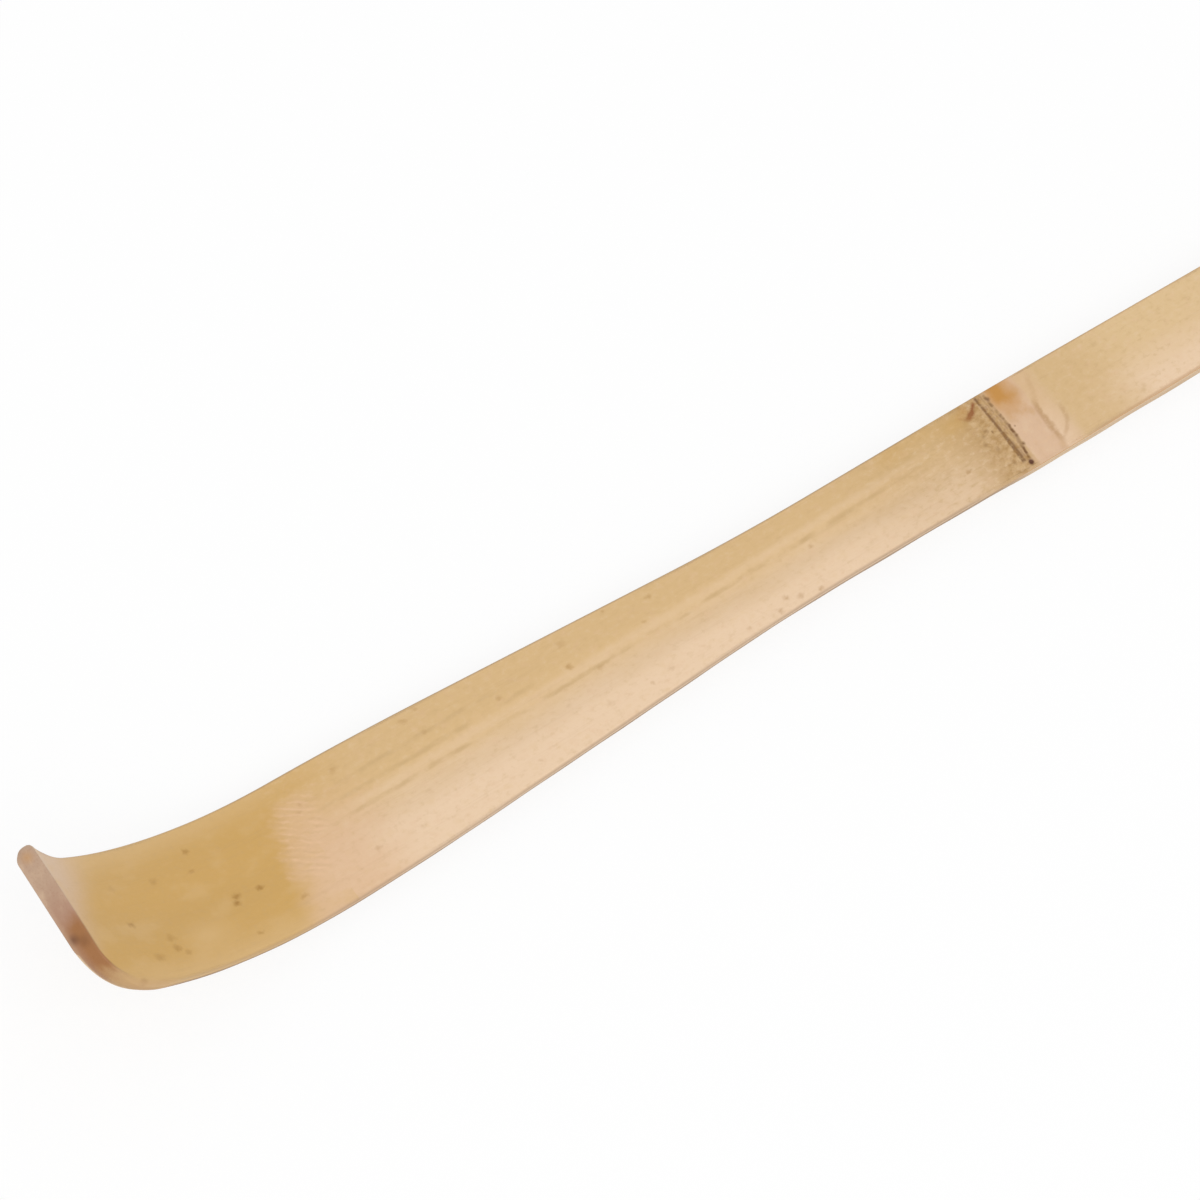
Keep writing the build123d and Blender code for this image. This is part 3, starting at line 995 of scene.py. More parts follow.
class Strip:
    """The straight blank: its stations, and its outline across at any distance.

    Points across the strip are complex numbers: across + 1j * height over the underside.
    """

    def __init__(self, sizes):
        self.sizes = sizes
        self.end_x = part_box("end_cut")[1].x
        self.start = {node: self.end_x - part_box(node)[1].x for node in STRAIGHT_NODES}
        self.start["scoop_bowl"] = self.start["heat_bend"] + sizes.bend_length
        self.start["tip_edge"] = self.start["scoop_bowl"] + sizes.bowl_length
        self.length = self.start["tip_edge"] + sizes.tip_edge_length
        self.scar_line = (self.start["sheath_scar"] + self.start["stem"]) / 2
        self.profiles = self.profiles_along(sizes)

    def profiles_along(self, sizes):
        """The sizes that change along the strip: what each of them is at which distance."""
        ridge, scar, stem, bend, bowl, tip = (
            self.start[node]
            for node in ("node_ridge", "sheath_scar", "stem", "heat_bend", "scoop_bowl", "tip_edge")
        )
        end = self.length
        waist = stem + sizes.waist_length
        shoulder = bend - sizes.shoulder_length
        grows, full, shrinks, shrunk = (end - reach for reach in NEAR_SOFT_AT)
        return {
            "width": {
                0: sizes.end_width,
                scar: sizes.node_width,
                waist: sizes.waist_width,
                shoulder: sizes.shoulder_width,
                end: sizes.tip_width,
            },
            "thickness": {0: sizes.end_thickness, bend: sizes.bend_thickness, end: sizes.tip_thickness},
            "underside": {
                0: -PLANING,
                ridge - sizes.arch_reach: -PLANING,
                ridge: sizes.arch_rise,
                stem: sizes.arch_rise,
                stem + sizes.arch_reach: -PLANING,
                end: -PLANING,
            },
            "groove": {
                0: 0,
                stem: 0,
                stem + sizes.groove_fade: sizes.groove_depth,
                bend - sizes.groove_fade: sizes.groove_depth,
                bend: 0,
                bowl: sizes.bowl_dish,
                tip: sizes.bowl_dish,
                end: 0,
            },
            "upright": {
                0: sizes.handle_upright,
                ridge: sizes.handle_upright,
                stem + sizes.side_fade: sizes.stem_upright,
                tip: sizes.stem_upright,
                end: sizes.tip_upright,
            },
            "bevel": {
                0: sizes.handle_bevel,
                ridge: sizes.handle_bevel,
                waist: sizes.stem_bevel,
                bend: sizes.stem_bevel,
                tip: sizes.tip_bevel,
                end: sizes.tip_bevel,
            },
            "near softening": {
                0: sizes.edge_softening,
                grows: sizes.edge_softening,
                full: sizes.corner_softening,
                shrinks: sizes.corner_softening,
                shrunk: sizes.edge_softening,
                end: sizes.edge_softening,
            },
            "far softening": {
                0: sizes.edge_softening,
                end - FAR_SOFT_AT: sizes.edge_softening,
                end: sizes.tip_softening,
            },
            "facet softening": {0: sizes.facet_softening, bowl: sizes.facet_softening, end: sizes.tip_facet},
            "tip": {0: 0, tip: 0, end: 1},
        }

    def at(self, size, distance):
        """One of the sizes at a distance, with its kinks eased."""
        stations, values = zip(*self.profiles[size].items())
        room = np.minimum(distance - stations[0], stations[-1] - distance)
        ease = np.clip(room, 0, EASES[size])
        steps = np.linspace(-1, 1, EASE_SAMPLES)
        return np.mean([np.interp(distance + ease * step, stations, values) for step in steps], axis=0)

    def corner(self, distance, reach, fullness):
        """Round of a corner of the tip: 0 where it starts, 1 at the end. Elliptic if fullness is 2."""
        turn = np.clip((distance - self.length + reach) / reach, 0, 1)
        return 1 - (1 - turn**fullness) ** (1 / fullness)

    def tip_growth(self, distance):
        """Growth of the tip's twist and flare: none where the bowl ends, 1 at the end."""
        share = np.clip((distance - self.start["tip_edge"]) / self.sizes.tip_edge_length, 0, 1)
        return share**TIP_LATENESS

    def sides(self, distance):
        """Distances of the near and the far edge from the centre line."""
        sizes = self.sizes
        side = self.at("width", distance) / 2
        near = side - sizes.near_corner * self.corner(distance, sizes.near_reach, NEAR_FULLNESS)
        far = side - sizes.far_corner * self.corner(distance, sizes.far_corner, FAR_FULLNESS)
        return near, far + sizes.far_flare * self.tip_growth(distance)

    def skin_run(self, distance):
        """Distance along the skin from the scar's dark line. The skin is inside the bends."""
        sizes = self.sizes
        flat = np.minimum(distance, self.start["heat_bend"]) - self.scar_line
        bend = np.clip(distance - self.start["heat_bend"], 0, sizes.bend_length)
        bowl = np.clip(distance - self.start["scoop_bowl"], 0, sizes.bowl_length)
        tip = np.maximum(distance - self.start["tip_edge"], 0)
        bend_share = 1 - sizes.bend_thickness / sizes.bend_radius
        bowl_share = 1 - sizes.tip_thickness / sizes.bowl_radius
        tip_share = 1 - sizes.tip_thickness / sizes.tip_radius
        return flat + bend * bend_share + bowl * bowl_share + tip * tip_share

    def loop(self, distance):
        """Outlines across the strip, one row a station, from the near edge over the skin."""
        distance = np.asarray(distance)[:, None]
        near, far = self.sides(distance)
        near_soft, far_soft = self.at("near softening", distance), self.at("far softening", distance)
        facet = self.at("facet softening", distance)
        centre = (far - near) / 2
        skin = self.at("thickness", distance)
        bottom = np.maximum(self.at("underside", distance), 0)
        bevel_top = skin * (1 - self.at("upright", distance))
        at_tip = self.at("tip", distance)
        near_bevel = self.at("bevel", distance)
        far_bevel = near_bevel + (self.sizes.far_bevel - near_bevel) * at_tip

        share = np.linspace(-1, 1, SKIN_COLUMNS)[None, :]
        first, last = near_soft * EDGE_MARGIN - near, far - far_soft * EDGE_MARGIN
        groove = self.at("groove", distance) * np.cos(np.clip(share, -0.5, 0.5) * pi) ** 2
        crown = self.sizes.skin_crown * (1 - CROWN_LOSS * at_tip)
        top = skin + crown * (1 - share**2) - groove
        columns = [(first + last) / 2 + share * (last - first) / 2 + 1j * top]
        for side, soft, bevel in ((far, far_soft, far_bevel), (-near, near_soft, near_bevel)):
            inward = -np.sign(side)
            run_in = bevel / bevel_top * (bevel_top - bottom)
            path = (
                side + inward * soft * EDGE_MARGIN + 1j * skin,
                side + 1j * skin,
                side + 1j * bevel_top,
                side + inward * run_in + 1j * bottom,
                centre + 1j * bottom,
            )
            columns.append(rounded(path, (soft, facet, facet)))
        skin_points, far_points, near_points = columns
        return np.concatenate([skin_points, far_points[:, 1:], near_points[:, -2:0:-1]], axis=1)


def rounded(path, radii):
    """Points along a bent path, whose corners are rounded and whose runs are divided."""
    enters, leaves = [], []
    for before, corner, after, radius in zip(path, path[1:], path[2:], radii):
        enters.append(corner + (before - corner) / abs(before - corner) * radius)
        leaves.append(corner + (after - corner) / abs(after - corner) * radius)
    points = [path[0]]
    for enter, corner, leave in zip(enters, path[1:], leaves):
        last = points[-1]
        points += [last + (enter - last) * step for step in np.linspace(0, 1, RUN_STEPS)[1:-1]]
        for step in np.linspace(0, 1, CORNER_STEPS):
            points.append((1 - step) ** 2 * enter + 2 * step * (1 - step) * corner + step**2 * leave)
    last = points[-1]
    points += [last + (path[-1] - last) * step for step in np.linspace(0, 1, 2 * RUN_STEPS)[1:]]
    return np.concatenate(points, axis=1)


def shrink(outline, amount):
    """Outlines drawn in by an amount all round, about their own middles."""
    amount = np.asarray(amount)[:, None]
    across, height = outline.real, outline.imag
    sides = (across.min(axis=1, keepdims=True), across.max(axis=1, keepdims=True))
    levels = (height.min(axis=1, keepdims=True), height.max(axis=1, keepdims=True))
    middle_across, middle_height = sum(sides) / 2, sum(levels) / 2
    across_share = 1 - amount / ((sides[1] - sides[0]) / 2)
    height_share = 1 - amount / ((levels[1] - levels[0]) / 2)
    return (
        middle_across
        + (across - middle_across) * across_share
        + 1j * (middle_height + (height - middle_height) * height_share)
    )


# Waves of the skin, of the scar's lines, of the wrinkles and of the knife's strokes: height in
# millimetres, turns along and across in radians a millimetre, and start.
SKIN_WAVES = ((0.018, 0.23, 0.4, 0.0), (0.012, 0.51, -0.3, 1.3))
SCAR_WAVES = ((0.02, 0.0, 3.1, 0.0), (0.015, 0.0, 7.3, 1.0))
WRINKLE_WAVES = ((0.15, 1.9, 0.0, 0.0), (0.1, 0.0, 3.3, 0.0))
KNIFE_WAVES = ((0.02, 0.37, 2.2, 0.0), (0.015, 0.9, -3.1, 0.5))
# Height or depth, and half width, of each form of the skin's relief, in millimetres.
RIDGE_RISE, RIDGE_SPREAD = 0.13, 0.75
SCAR_STEP = 0.04
SCAR_DEPTH, BROKEN_DEPTH, SCAR_SPREAD = 0.025, 0.02, 0.1
PIT_DEPTH, PIT_SPREAD = 0.1, 0.14
CREASE_DEPTH, SIDE_CREASE_DEPTH, CREASE_SPREAD = 0.02, 0.012, 0.16
WRINKLE_DEPTH = 0.012
# Start and end of the scar's step along the strip, and of the scar's lines across it.
STEP_RISE, STEP_FALL = (-0.8, -0.5), (0.3, 3.0)
LINES_RISE, LINES_FALL = (-2.95, -2.6), (3.3, 3.6)
# Mean depth of the knife's strokes in millimetres, where they start below the skin, and where they
# end before the tip.
KNIFE_DEPTH = 0.035
KNIFE_RISE = (0.4, 1.0)
KNIFE_FALL = (80.0, 86.0)


def waves(along, across, table):
    """The sum of a table's waves."""
    return sum(
        height * np.sin(along * lengthwise + across * crosswise + start)
        for height, lengthwise, crosswise, start in table
    )


def line(gap, half_width):
    """A soft line in the relief: 1 on it, falling to nothing beside it."""
    return np.exp(-((gap / half_width) ** 2))


def step_up(value, start, stop):
    """Rises smoothly from 0 to 1 between start and stop."""
    share = np.clip((value - start) / (stop - start), 0, 1)
    return share * share * (3 - 2 * share)


def band(value, start, stop, softness):
    """1 between start and stop, with soft ends."""
    rise = step_up(value, start - softness, start + softness)
    fall = step_up(value, stop - softness, stop + softness)
    return rise * (1 - fall)


def skin_relief(along, across):
    """Relief of the skin in millimetres, from its own coordinates in millimetres."""
    relief = waves(along, across, SKIN_WAVES)
    # Node: the ridge, the scar's shallow step, its two lines and a small pit.
    relief += RIDGE_RISE * line(along - RIDGE_PLACE, RIDGE_SPREAD) * (1 + 0.1 * np.sin(across * 1.7))
    relief -= SCAR_STEP * step_up(along, *STEP_RISE) * (1 - step_up(along, *STEP_FALL))
    inside = step_up(across, *LINES_RISE) * (1 - step_up(across, *LINES_FALL))
    sway = waves(along, across, SCAR_WAVES)
    main_gap = along - SCAR_LINE + across * SCAR_LEAN + sway
    relief -= SCAR_DEPTH * line(main_gap, SCAR_SPREAD) * inside
    uneven = 0.5 + 0.5 * np.sin(across * 4.3 + 0.7) * np.sin(across * 2.1)
    relief -= BROKEN_DEPTH * line(along - BROKEN_LINE + sway, SCAR_SPREAD) * inside * uneven
    pit_along, pit_across = PIT_PLACE
    relief -= PIT_DEPTH * line(np.hypot(along - pit_along, across - pit_across), PIT_SPREAD)
    # Creases along the groove.
    place = np.interp(along, CREASE_ALONG, CREASE_ACROSS)
    reach = step_up(along, *CREASE_RISE) * (1 - step_up(along, *CREASE_RELIEF_FALL))
    relief -= CREASE_DEPTH * line(across - place, CREASE_SPREAD) * reach
    for side_place, start, stop, strength in SIDE_CREASES:
        reach = band(along, start, stop, SIDE_CREASE_FADE)
        relief -= SIDE_CREASE_DEPTH * strength * line(across - side_place, CREASE_SPREAD) * reach
    # Wrinkles at the bend.
    patch = band(along + across * WRINKLE_SLANT, *WRINKLE_ALONG, 0.7) * band(across, *WRINKLE_ACROSS, 0.6)
    off = across * cos(WRINKLE_HEADING) - along * sin(WRINKLE_HEADING)
    wave = np.sin((off + waves(along, across, WRINKLE_WAVES)) * 2 * pi / WRINKLE_PITCH)
    return relief + WRINKLE_DEPTH * wave * patch


def knife_strokes(outline, along, depth):
    """Long shallow knife strokes that take a little off the sides and the underside."""
    middle = outline.mean(axis=1, keepdims=True)
    inward = (middle - outline) / abs(middle - outline)
    strokes = waves(along, outline.real / MM, KNIFE_WAVES) + KNIFE_DEPTH
    reach = step_up(depth, *KNIFE_RISE) * (1 - step_up(along, *KNIFE_FALL))
    return inward * strokes * MM * reach


def evenly(start, stop, spacing):
    """Stations from start to stop, about a spacing apart."""
    count = max(2, int(round((stop - start) / spacing)) + 1)
    return [float(place) for place in np.linspace(start, stop, count)]


# Rings of a cut face, as shares of the way from its rim to its middle, and rings round its rim.
FACE_SHARES = (0.96, 0.8, 0.6, 0.4, 0.2)
RIM_RINGS = 7


def cut_face(place, inward, rim, half_thickness):
    """Rings of a cut end from its middle to its softened rim: distance and drawing in."""
    rings = [(place, rim + (half_thickness - rim) * part) for part in FACE_SHARES]
    for turn in np.linspace(90, 0, RIM_RINGS):
        angle = radians(turn)
        rings.append((place + inward * rim * (1 - sin(angle)), rim * (1 - cos(angle))))
    return rings


def blank_faces(around, distance, inset):
    """Faces between the rings of a blank and over its two ends, and the finish of each."""
    faces, finishes = [], []
    for ring in range(len(distance) - 1):
        cut = inset[ring] > 0 or inset[ring + 1] > 0
        flat = distance[ring] == distance[ring + 1]
        bare = END_FINISH if cut else FLESH_FINISH
        low, high = ring * around, (ring + 1) * around
        for point in range(around):
            following = (point + 1) % around
            faces.append((low + point, high + point, high + following, low + following))
            skin = point < SKIN_COLUMNS - 1 + EDGE_FACES or point >= around - EDGE_FACES
            finishes.append(SKIN_FINISH if skin and not flat else bare)
    last = (len(distance) - 1) * around
    caps = (tuple(range(around)), tuple(range(last + around - 1, last - 1, -1)))
    for cap, cap_inset in zip(caps, (inset[0], inset[-1])):
        faces.append(cap)
        finishes.append(END_FINISH if cap_inset > 0 else FLESH_FINISH)
    return faces, finishes


def blank_mesh(name, strip, rings):
    """The straight blank of one zone, closed at both ends."""
    distance, inset = (np.array(column) for column in zip(*rings))
    outline = strip.loop(distance)
    around = outline.shape[1]
    along = strip.skin_run(distance)[:, None] / MM + 0 * outline.real
    top = strip.at("thickness", distance[:, None])
    on_skin = np.arange(around) < SKIN_COLUMNS
    relief = np.where(on_skin, skin_relief(along, outline.real / MM), 0) * MM
    outline = outline + 1j * relief
    outline = outline + knife_strokes(outline, along, (top - outline.imag) / MM)
    outline = shrink(outline, inset)
    across, depth = outline.real / MM, (top - outline.imag) / MM
    to_near = across - across.min(axis=1, keepdims=True)
    to_far = across.max(axis=1, keepdims=True) - across
    to_ends = np.minimum(distance, strip.length - distance)[:, None] / MM
    rim = np.minimum(np.minimum(to_near, to_far), to_ends)
    twist = strip.sizes.tip_twist * strip.tip_growth(distance[:, None])
    outline = outline * np.exp(1j * twist)

    x = strip.end_x - distance[:, None] + 0 * outline.real
    vertices = np.stack([x, outline.real, outline.imag], axis=-1).reshape(-1, 3)
    skin_places = np.stack([along, across, depth], axis=-1)
    faces, finishes = blank_faces(around, distance, inset)
    mesh = bpy.data.meshes.new(name)
    mesh.from_pydata(vertices.tolist(), [], faces, shade_flat=False)
    mesh.attributes.new("strip", "FLOAT_VECTOR", "POINT").data.foreach_set("vector", skin_places.ravel())
    mesh.attributes.new("rim", "FLOAT", "POINT").data.foreach_set("value", rim.ravel())
    mesh.attributes.new("finish", "INT", "FACE").data.foreach_set("value", finishes)
    cap_edges = {key for polygon in list(mesh.polygons)[-2:] for key in polygon.edge_keys}
    for edge in mesh.edges:
        edge.use_edge_sharp = tuple(sorted(edge.vertices)) in cap_edges
    return mesh


BEND_INPUTS = ("Bend Start", "Bend Length", "Bend Radius", "Bowl Length", "Bowl Radius", "Tip Radius")
FINISH_INPUTS = ("Skin", "Flesh", "Cut Ends")


def bend_tree():
    """Geometry nodes that bend the straight blank up at its scoop and give it its finishes."""
    name = "bend strip"
    tree = bpy.data.node_groups.get(name)
    if tree:
        return tree
    tree = bpy.data.node_groups.new(name, "GeometryNodeTree")
    tree.interface.new_socket("Geometry", in_out="INPUT", socket_type="NodeSocketGeometry")
    for socket in BEND_INPUTS:
        tree.interface.new_socket(socket, in_out="INPUT", socket_type="NodeSocketFloat")
    for socket in FINISH_INPUTS:
        tree.interface.new_socket(socket, in_out="INPUT", socket_type="NodeSocketMaterial")
    tree.interface.new_socket("Geometry", in_out="OUTPUT", socket_type="NodeSocketGeometry")
    graph = Graph(tree)
    given = graph.node("NodeGroupInput", {}, {}, "Geometry")
    position = graph.node("GeometryNodeInputPosition", {}, {})
    place = graph.node("ShaderNodeSeparateXYZ", {}, {"Vector": position}, "X")
    height = place["Z"]
    bend_start, bend_length, bend_radius, bowl_length, bowl_radius, tip_radius = (
        given[socket] for socket in BEND_INPUTS
    )
    run = graph.sum("MAXIMUM", bend_start - place, 0.0)
    bend_run = graph.sum("MINIMUM", run, bend_length)
    bowl_run = graph.sum("MINIMUM", run - bend_run, bowl_length)
    tip_run = run - bend_run - bowl_run
    x = graph.sum("MAXIMUM", place, bend_start)
    z = turn = 0.0
    sine, cosine = 0.0, 1.0
    for arc_run, radius in ((bend_run, bend_radius), (bowl_run, bowl_radius), (tip_run, tip_radius)):
        turn = arc_run / radius + turn
        last_sine, last_cosine = sine, cosine
        sine, cosine = graph.sum("SINE", turn), graph.sum("COSINE", turn)
        x = x - radius * (sine - last_sine)
        z = radius * (last_cosine - cosine) + z
    x = x + height * sine
    z = z + height * cosine
    bent = graph.node("ShaderNodeCombineXYZ", {}, {"X": x, "Y": place["Y"], "Z": z})
    geometry = graph.node("GeometryNodeSetPosition", {}, {"Geometry": given, "Position": bent})
    geometry = graph.node("GeometryNodeRealizeInstances", {}, {"Geometry": geometry})
    kind = graph.node(
        "GeometryNodeInputNamedAttribute", {"data_type": "INT"}, {"Name": "finish"}, "Attribute"
    )
    for number, socket in enumerate(FINISH_INPUTS):
        chosen = graph.node(
            "FunctionNodeCompare", {"data_type": "INT", "operation": "EQUAL"}, {"A": kind, "B": number}
        )
        geometry = graph.node(
            "GeometryNodeSetMaterial",
            {},
            {"Geometry": geometry, "Selection": chosen, "Material": given[socket]},
        )
    graph.node("NodeGroupOutput", {}, {"Geometry": geometry})
    return tree


def carve(context, node, rings, skin):
    """Makes one zone of the strip: its straight blank, bent, in its finishes and on its body."""
    sizes = context.scene.scoop_sizes
    strip = Strip(sizes)
    piece = bpy.data.objects.new("carved_" + node, blank_mesh("blank", strip, rings))
    context.scene.collection.objects.link(piece)
    modifier = piece.modifiers.new("bend", "NODES")
    tree = bend_tree()
    modifier.node_group = tree
    values = {
        "Bend Start": strip.end_x - strip.start["heat_bend"],
        "Bend Length": sizes.bend_length,
        "Bend Radius": sizes.bend_radius,
        "Bowl Length": sizes.bowl_length,
        "Bowl Radius": sizes.bowl_radius,
        "Tip Radius": sizes.tip_radius,
        "Skin": skin,
        "Flesh": finish("bamboo flesh", flesh_finish),
        "Cut Ends": finish("bamboo end grain", end_finish),
    }
    for item in tree.interface.items_tree:
        if item.in_out == "INPUT" and item.name in values:
            modifier[item.identifier] = values[item.name]
    depsgraph = context.evaluated_depsgraph_get()
    bent = bpy.data.meshes.new_from_object(
        piece.evaluated_get(depsgraph), preserve_all_data_layers=True, depsgraph=depsgraph
    )
    piece.modifiers.remove(modifier)
    blank, piece.data = piece.data, bent
    bpy.data.meshes.remove(blank)
    bent.name = piece.name
    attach(piece, BODY)
    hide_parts(node)


# Spacing of the rings that each zone is carved in.
END_SPACING = 0.3 * MM
HANDLE_SPACING = 0.9 * MM
NODE_SPACING = 0.05 * MM
STEM_SPACING = 0.45 * MM
FINE_SPACING = 0.1 * MM
BOWL_SPACING = 0.2 * MM
TIP_SPACING = 0.08 * MM
# Lengths of the stem that are carved finely, below the scar and before the bend.
MEALY_LENGTH = 4.0 * MM
WRINKLED_LENGTH = 3.5 * MM


def plain_rings(start, stop, spacing):
    """Rings of a stretch without a cut end: distance and no drawing in."""
    return [(distance, 0.0) for distance in evenly(start, stop, spacing)]


class SCOOP_OT_handle(bpy.types.Operator):
    """Carves the handle and its cut end"""

    bl_idname = "tea_scoop.handle"
    bl_label = "Handle"

    def execute(self, context):
        sizes = context.scene.scoop_sizes
        strip = Strip(sizes)
        skin = finish("handle skin", skin_finish, handle_marks)
        start, stop = strip.start["handle"], strip.start["node_ridge"]
        end = cut_face(0.0, 1, sizes.end_rim, sizes.end_thickness / 2)
        end += plain_rings(sizes.end_rim, start, END_SPACING)[1:]
        carve(context, "end_cut", end, skin)
        carve(context, "handle", plain_rings(start, stop, HANDLE_SPACING), skin)
        return {"FINISHED"}


class SCOOP_OT_node(bpy.types.Operator):
    """Carves the node: its ridge, its bare band and the sheath's scar"""

    bl_idname = "tea_scoop.node"
    bl_label = "Node"

    def execute(self, context):
        strip = Strip(context.scene.scoop_sizes)
        skin = finish("node skin", skin_finish, node_marks)
        zones = ("node_ridge", "node_band", "sheath_scar", "stem")
        for zone, following in zip(zones, zones[1:]):
            rings = plain_rings(strip.start[zone], strip.start[following], NODE_SPACING)
            carve(context, zone, rings, skin)
        return {"FINISHED"}


class SCOOP_OT_stem(bpy.types.Operator):
    """Carves the grooved stem"""

    bl_idname = "tea_scoop.stem"
    bl_label = "Stem"

    def execute(self, context):
        strip = Strip(context.scene.scoop_sizes)
        skin = finish("stem skin", skin_finish, stem_marks)
        start, stop = strip.start["stem"], strip.start["heat_bend"]
        mealy_stop, wrinkle_start = start + MEALY_LENGTH, stop - WRINKLED_LENGTH
        rings = plain_rings(start, mealy_stop, FINE_SPACING)
        rings += plain_rings(mealy_stop, wrinkle_start, STEM_SPACING)[1:]
        rings += plain_rings(wrinkle_start, stop, FINE_SPACING)[1:]
        carve(context, "stem", rings, skin)
        return {"FINISHED"}


class SCOOP_OT_scoop(bpy.types.Operator):
    """Carves the heated bend, the scoop and its tip"""

    bl_idname = "tea_scoop.scoop"
    bl_label = "Scoop"

    def execute(self, context):
        sizes = context.scene.scoop_sizes
        strip = Strip(sizes)
        skin = finish("toasted skin", skin_finish, toasted_marks)
        bend, bowl, tip = (strip.start[zone] for zone in ("heat_bend", "scoop_bowl", "tip_edge"))
        carve(context, "heat_bend", plain_rings(bend, bowl, FINE_SPACING), skin)
        carve(context, "scoop_bowl", plain_rings(bowl, tip, BOWL_SPACING), skin)
        face = cut_face(strip.length, -1, sizes.tip_rim, sizes.tip_thickness / 2)
        rings = plain_rings(tip, strip.length - sizes.tip_rim, TIP_SPACING) + face[-2::-1]
        carve(context, "tip_edge", rings, skin)
        return {"FINISHED"}


# The camera: where it stands from the scar's dark line, how it is rolled, its focal length in
# pixels, and the pixel that the line's middle falls on, in a picture of 1200 x 1200.
PICTURE_SIZE = 1200
CAMERA_SIDE = (-0.5185, -0.2499)
CAMERA_ROLL = radians(30.523)
FOCAL_PIXELS = 6873.6
NODE_PIXEL = (1002.95, 432.38)
SENSOR = 36.0
CLIP_START, CLIP_STOP = 0.01, 20.0
# The floor's half width and the lamp's place and width, in metres.
FLOOR_REACH = 3.0
LAMP_PLACE = (-0.25, -0.55, 0.75)
LAMP_WIDTH = 0.8
# Share of pure white in the floor as the camera sees it.
FLOOR_WHITE = 0.85


def camera_matrix(target, distance):
    """Places the camera so that the target falls on its pixel, with the strip rolled in the picture."""
    side_x, side_y = CAMERA_SIDE
    back = Vector((side_x, side_y, (1 - side_x**2 - side_y**2) ** 0.5))
    strip_way = Vector((1, 0, 0))
    level = (strip_way - back * back.dot(strip_way)).normalized()
    square = back.cross(level)
    right = level * cos(CAMERA_ROLL) - square * sin(CAMERA_ROLL)
    up = level * sin(CAMERA_ROLL) + square * cos(CAMERA_ROLL)
    facing_target = Matrix((right, up, back)).transposed()
    half = PICTURE_SIZE / 2
    sight = Vector(((NODE_PIXEL[0] - half) / FOCAL_PIXELS, (half - NODE_PIXEL[1]) / FOCAL_PIXELS, -1))
    swing = Vector((0, 0, -1)).rotation_difference(sight.normalized()).to_matrix()
    turned = facing_target @ swing.transposed()
    return Matrix.Translation(target + back * distance) @ turned.to_4x4()


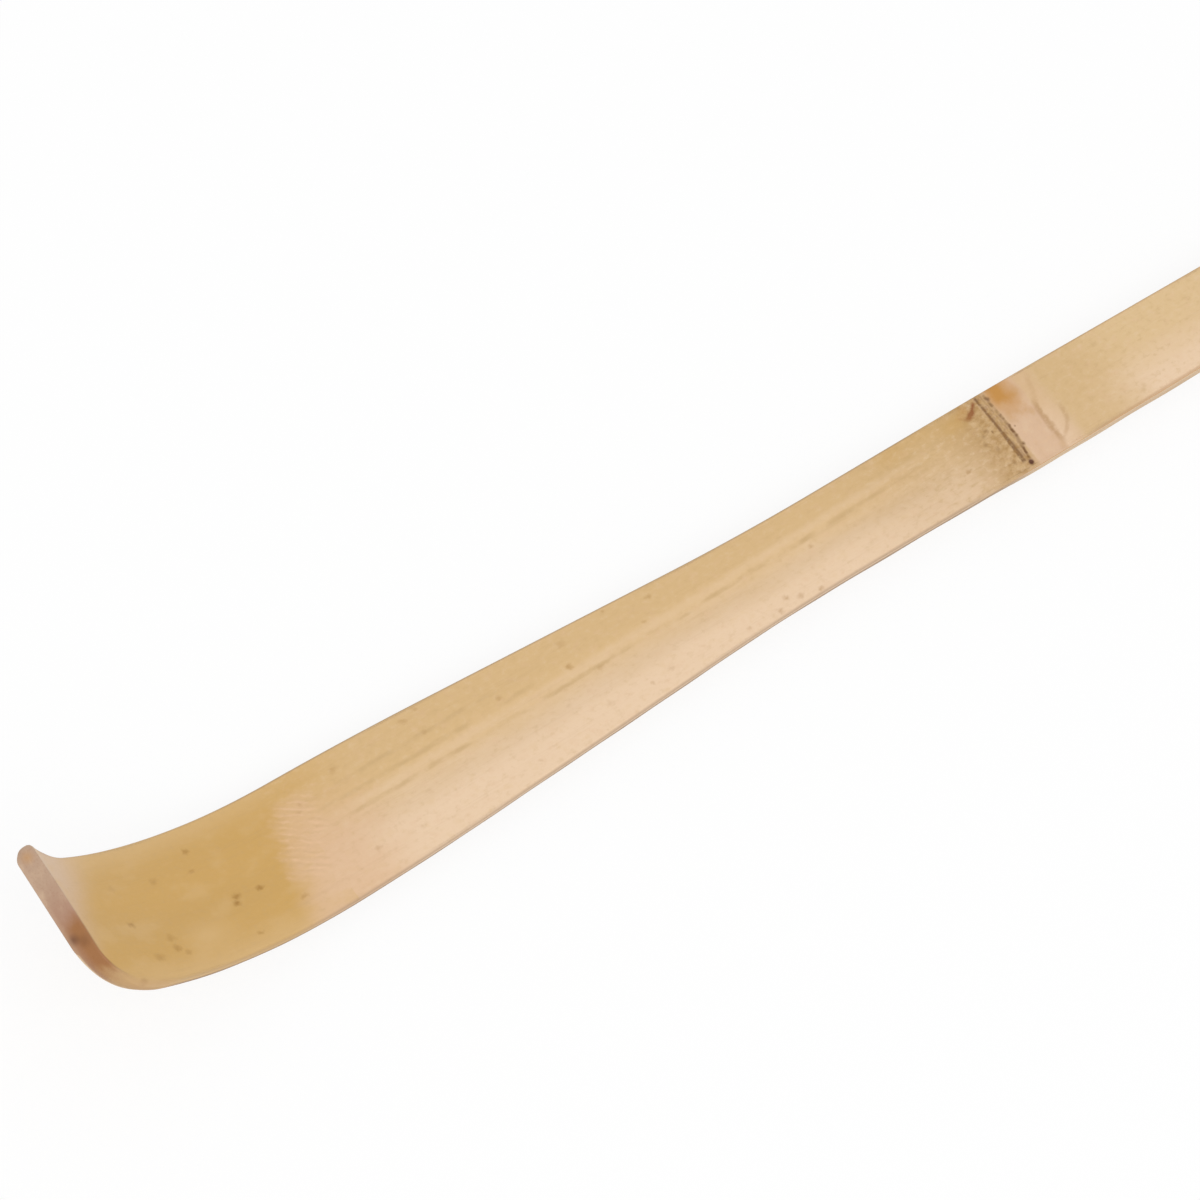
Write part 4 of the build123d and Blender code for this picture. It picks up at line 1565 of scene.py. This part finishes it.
class SCOOP_OT_stage(bpy.types.Operator):
    """Lays the floor, lights it softly and sets the camera"""

    bl_idname = "tea_scoop.stage"
    bl_label = "Stage"

    def execute(self, context):
        scene = context.scene
        stage = scene.scoop_stage
        self.lay_floor(scene, stage)
        self.light(scene, stage)
        camera = bpy.data.objects.new("camera", bpy.data.cameras.new("camera"))
        camera.data.sensor_width = SENSOR
        camera.data.lens = FOCAL_PIXELS * SENSOR / PICTURE_SIZE
        camera.data.clip_start = CLIP_START
        camera.data.clip_end = CLIP_STOP
        strip = Strip(scene.scoop_sizes)
        target = Vector((strip.end_x - strip.scar_line, 0, float(strip.at("thickness", strip.scar_line))))
        camera.matrix_world = camera_matrix(target, stage.camera_distance)
        scene.collection.objects.link(camera)
        scene.camera = camera
        scene.view_settings.view_transform = "Standard"
        return {"FINISHED"}

    def lay_floor(self, scene, stage):
        signs = ((-1, -1), (1, -1), (1, 1), (-1, 1))
        corners = [(x * FLOOR_REACH, y * FLOOR_REACH, 0) for x, y in signs]
        mesh = bpy.data.meshes.new("floor")
        mesh.from_pydata(corners, [], [(0, 1, 2, 3)])
        floor = bpy.data.objects.new("floor", mesh)
        scene.collection.objects.link(floor)
        material, graph = new_finish("floor")
        plain = graph.node("ShaderNodeBsdfDiffuse", {}, {"Color": stage.floor})
        white = graph.node("ShaderNodeEmission", {}, {"Color": (1, 1, 1), "Strength": 1.0})
        rays = graph.node("ShaderNodeLightPath", {}, {}, "Is Camera Ray")
        seen = graph.sum("MAXIMUM", rays, rays["Is Glossy Ray"])
        seen = graph.sum("MAXIMUM", seen, rays["Is Transmission Ray"])
        lit = graph.node("ShaderNodeMixShader", {}, {0: seen * FLOOR_WHITE, 1: plain, 2: white})
        clear = graph.node("ShaderNodeBsdfTransparent", {}, {})
        below = graph.node("ShaderNodeNewGeometry", {}, {}, "Backfacing")
        shown = graph.node("ShaderNodeMixShader", {}, {0: below, 1: lit, 2: clear})
        graph.node("ShaderNodeOutputMaterial", {}, {"Surface": shown})
        mesh.materials.append(material)

    def light(self, scene, stage):
        scene.world = bpy.data.worlds.new("studio")
        scene.world.use_nodes = True
        graph = Graph(scene.world.node_tree)
        rays = graph.node("ShaderNodeLightPath", {}, {}, "Is Camera Ray")
        strength = rays * (1 - stage.sky_strength) + stage.sky_strength
        sky = graph.node("ShaderNodeBackground", {}, {"Color": (1, 1, 1), "Strength": strength})
        graph.node("ShaderNodeOutputWorld", {}, {"Surface": sky})
        lamp = bpy.data.objects.new("soft lamp", bpy.data.lights.new("soft lamp", "AREA"))
        lamp.data.energy = stage.lamp_power
        lamp.data.size = LAMP_WIDTH
        lamp.location = LAMP_PLACE
        lamp.rotation_euler = (-lamp.location).to_track_quat("-Z", "Y").to_euler()
        scene.collection.objects.link(lamp)


class SCOOP_PT_panel(bpy.types.Panel):
    """Sizes, colours and pieces of the tea scoop"""

    bl_idname = "SCOOP_PT_panel"
    bl_label = "Tea Scoop"
    bl_space_type = "VIEW_3D"
    bl_region_type = "UI"
    bl_category = "Tea Scoop"

    def draw(self, context):
        scene = context.scene
        for group in (scene.scoop_sizes, scene.scoop_colours, scene.scoop_stage):
            box = self.layout.box()
            for name in group.__annotations__:
                box.prop(group, name)
        for operator in OPERATORS:
            self.layout.operator(operator.bl_idname)


GROUPS = {
    "scoop_sizes": ScoopSizes,
    "scoop_colours": ScoopColours,
    "scoop_stage": StageColours,
}
OPERATORS = (SCOOP_OT_handle, SCOOP_OT_node, SCOOP_OT_stem, SCOOP_OT_scoop, SCOOP_OT_stage)
CLASSES = (*GROUPS.values(), *OPERATORS, SCOOP_PT_panel)


def register():
    for item in CLASSES:
        bpy.utils.register_class(item)
    for name, group in GROUPS.items():
        setattr(bpy.types.Scene, name, PointerProperty(type=group))


def unregister():
    for name in GROUPS:
        delattr(bpy.types.Scene, name)
    for item in reversed(CLASSES):
        bpy.utils.unregister_class(item)


def main():
    register()
    bpy.ops.tea_scoop.handle()
    bpy.ops.tea_scoop.node()
    bpy.ops.tea_scoop.stem()
    bpy.ops.tea_scoop.scoop()
    bpy.ops.tea_scoop.stage()


if __name__ == "__main__":
    main()
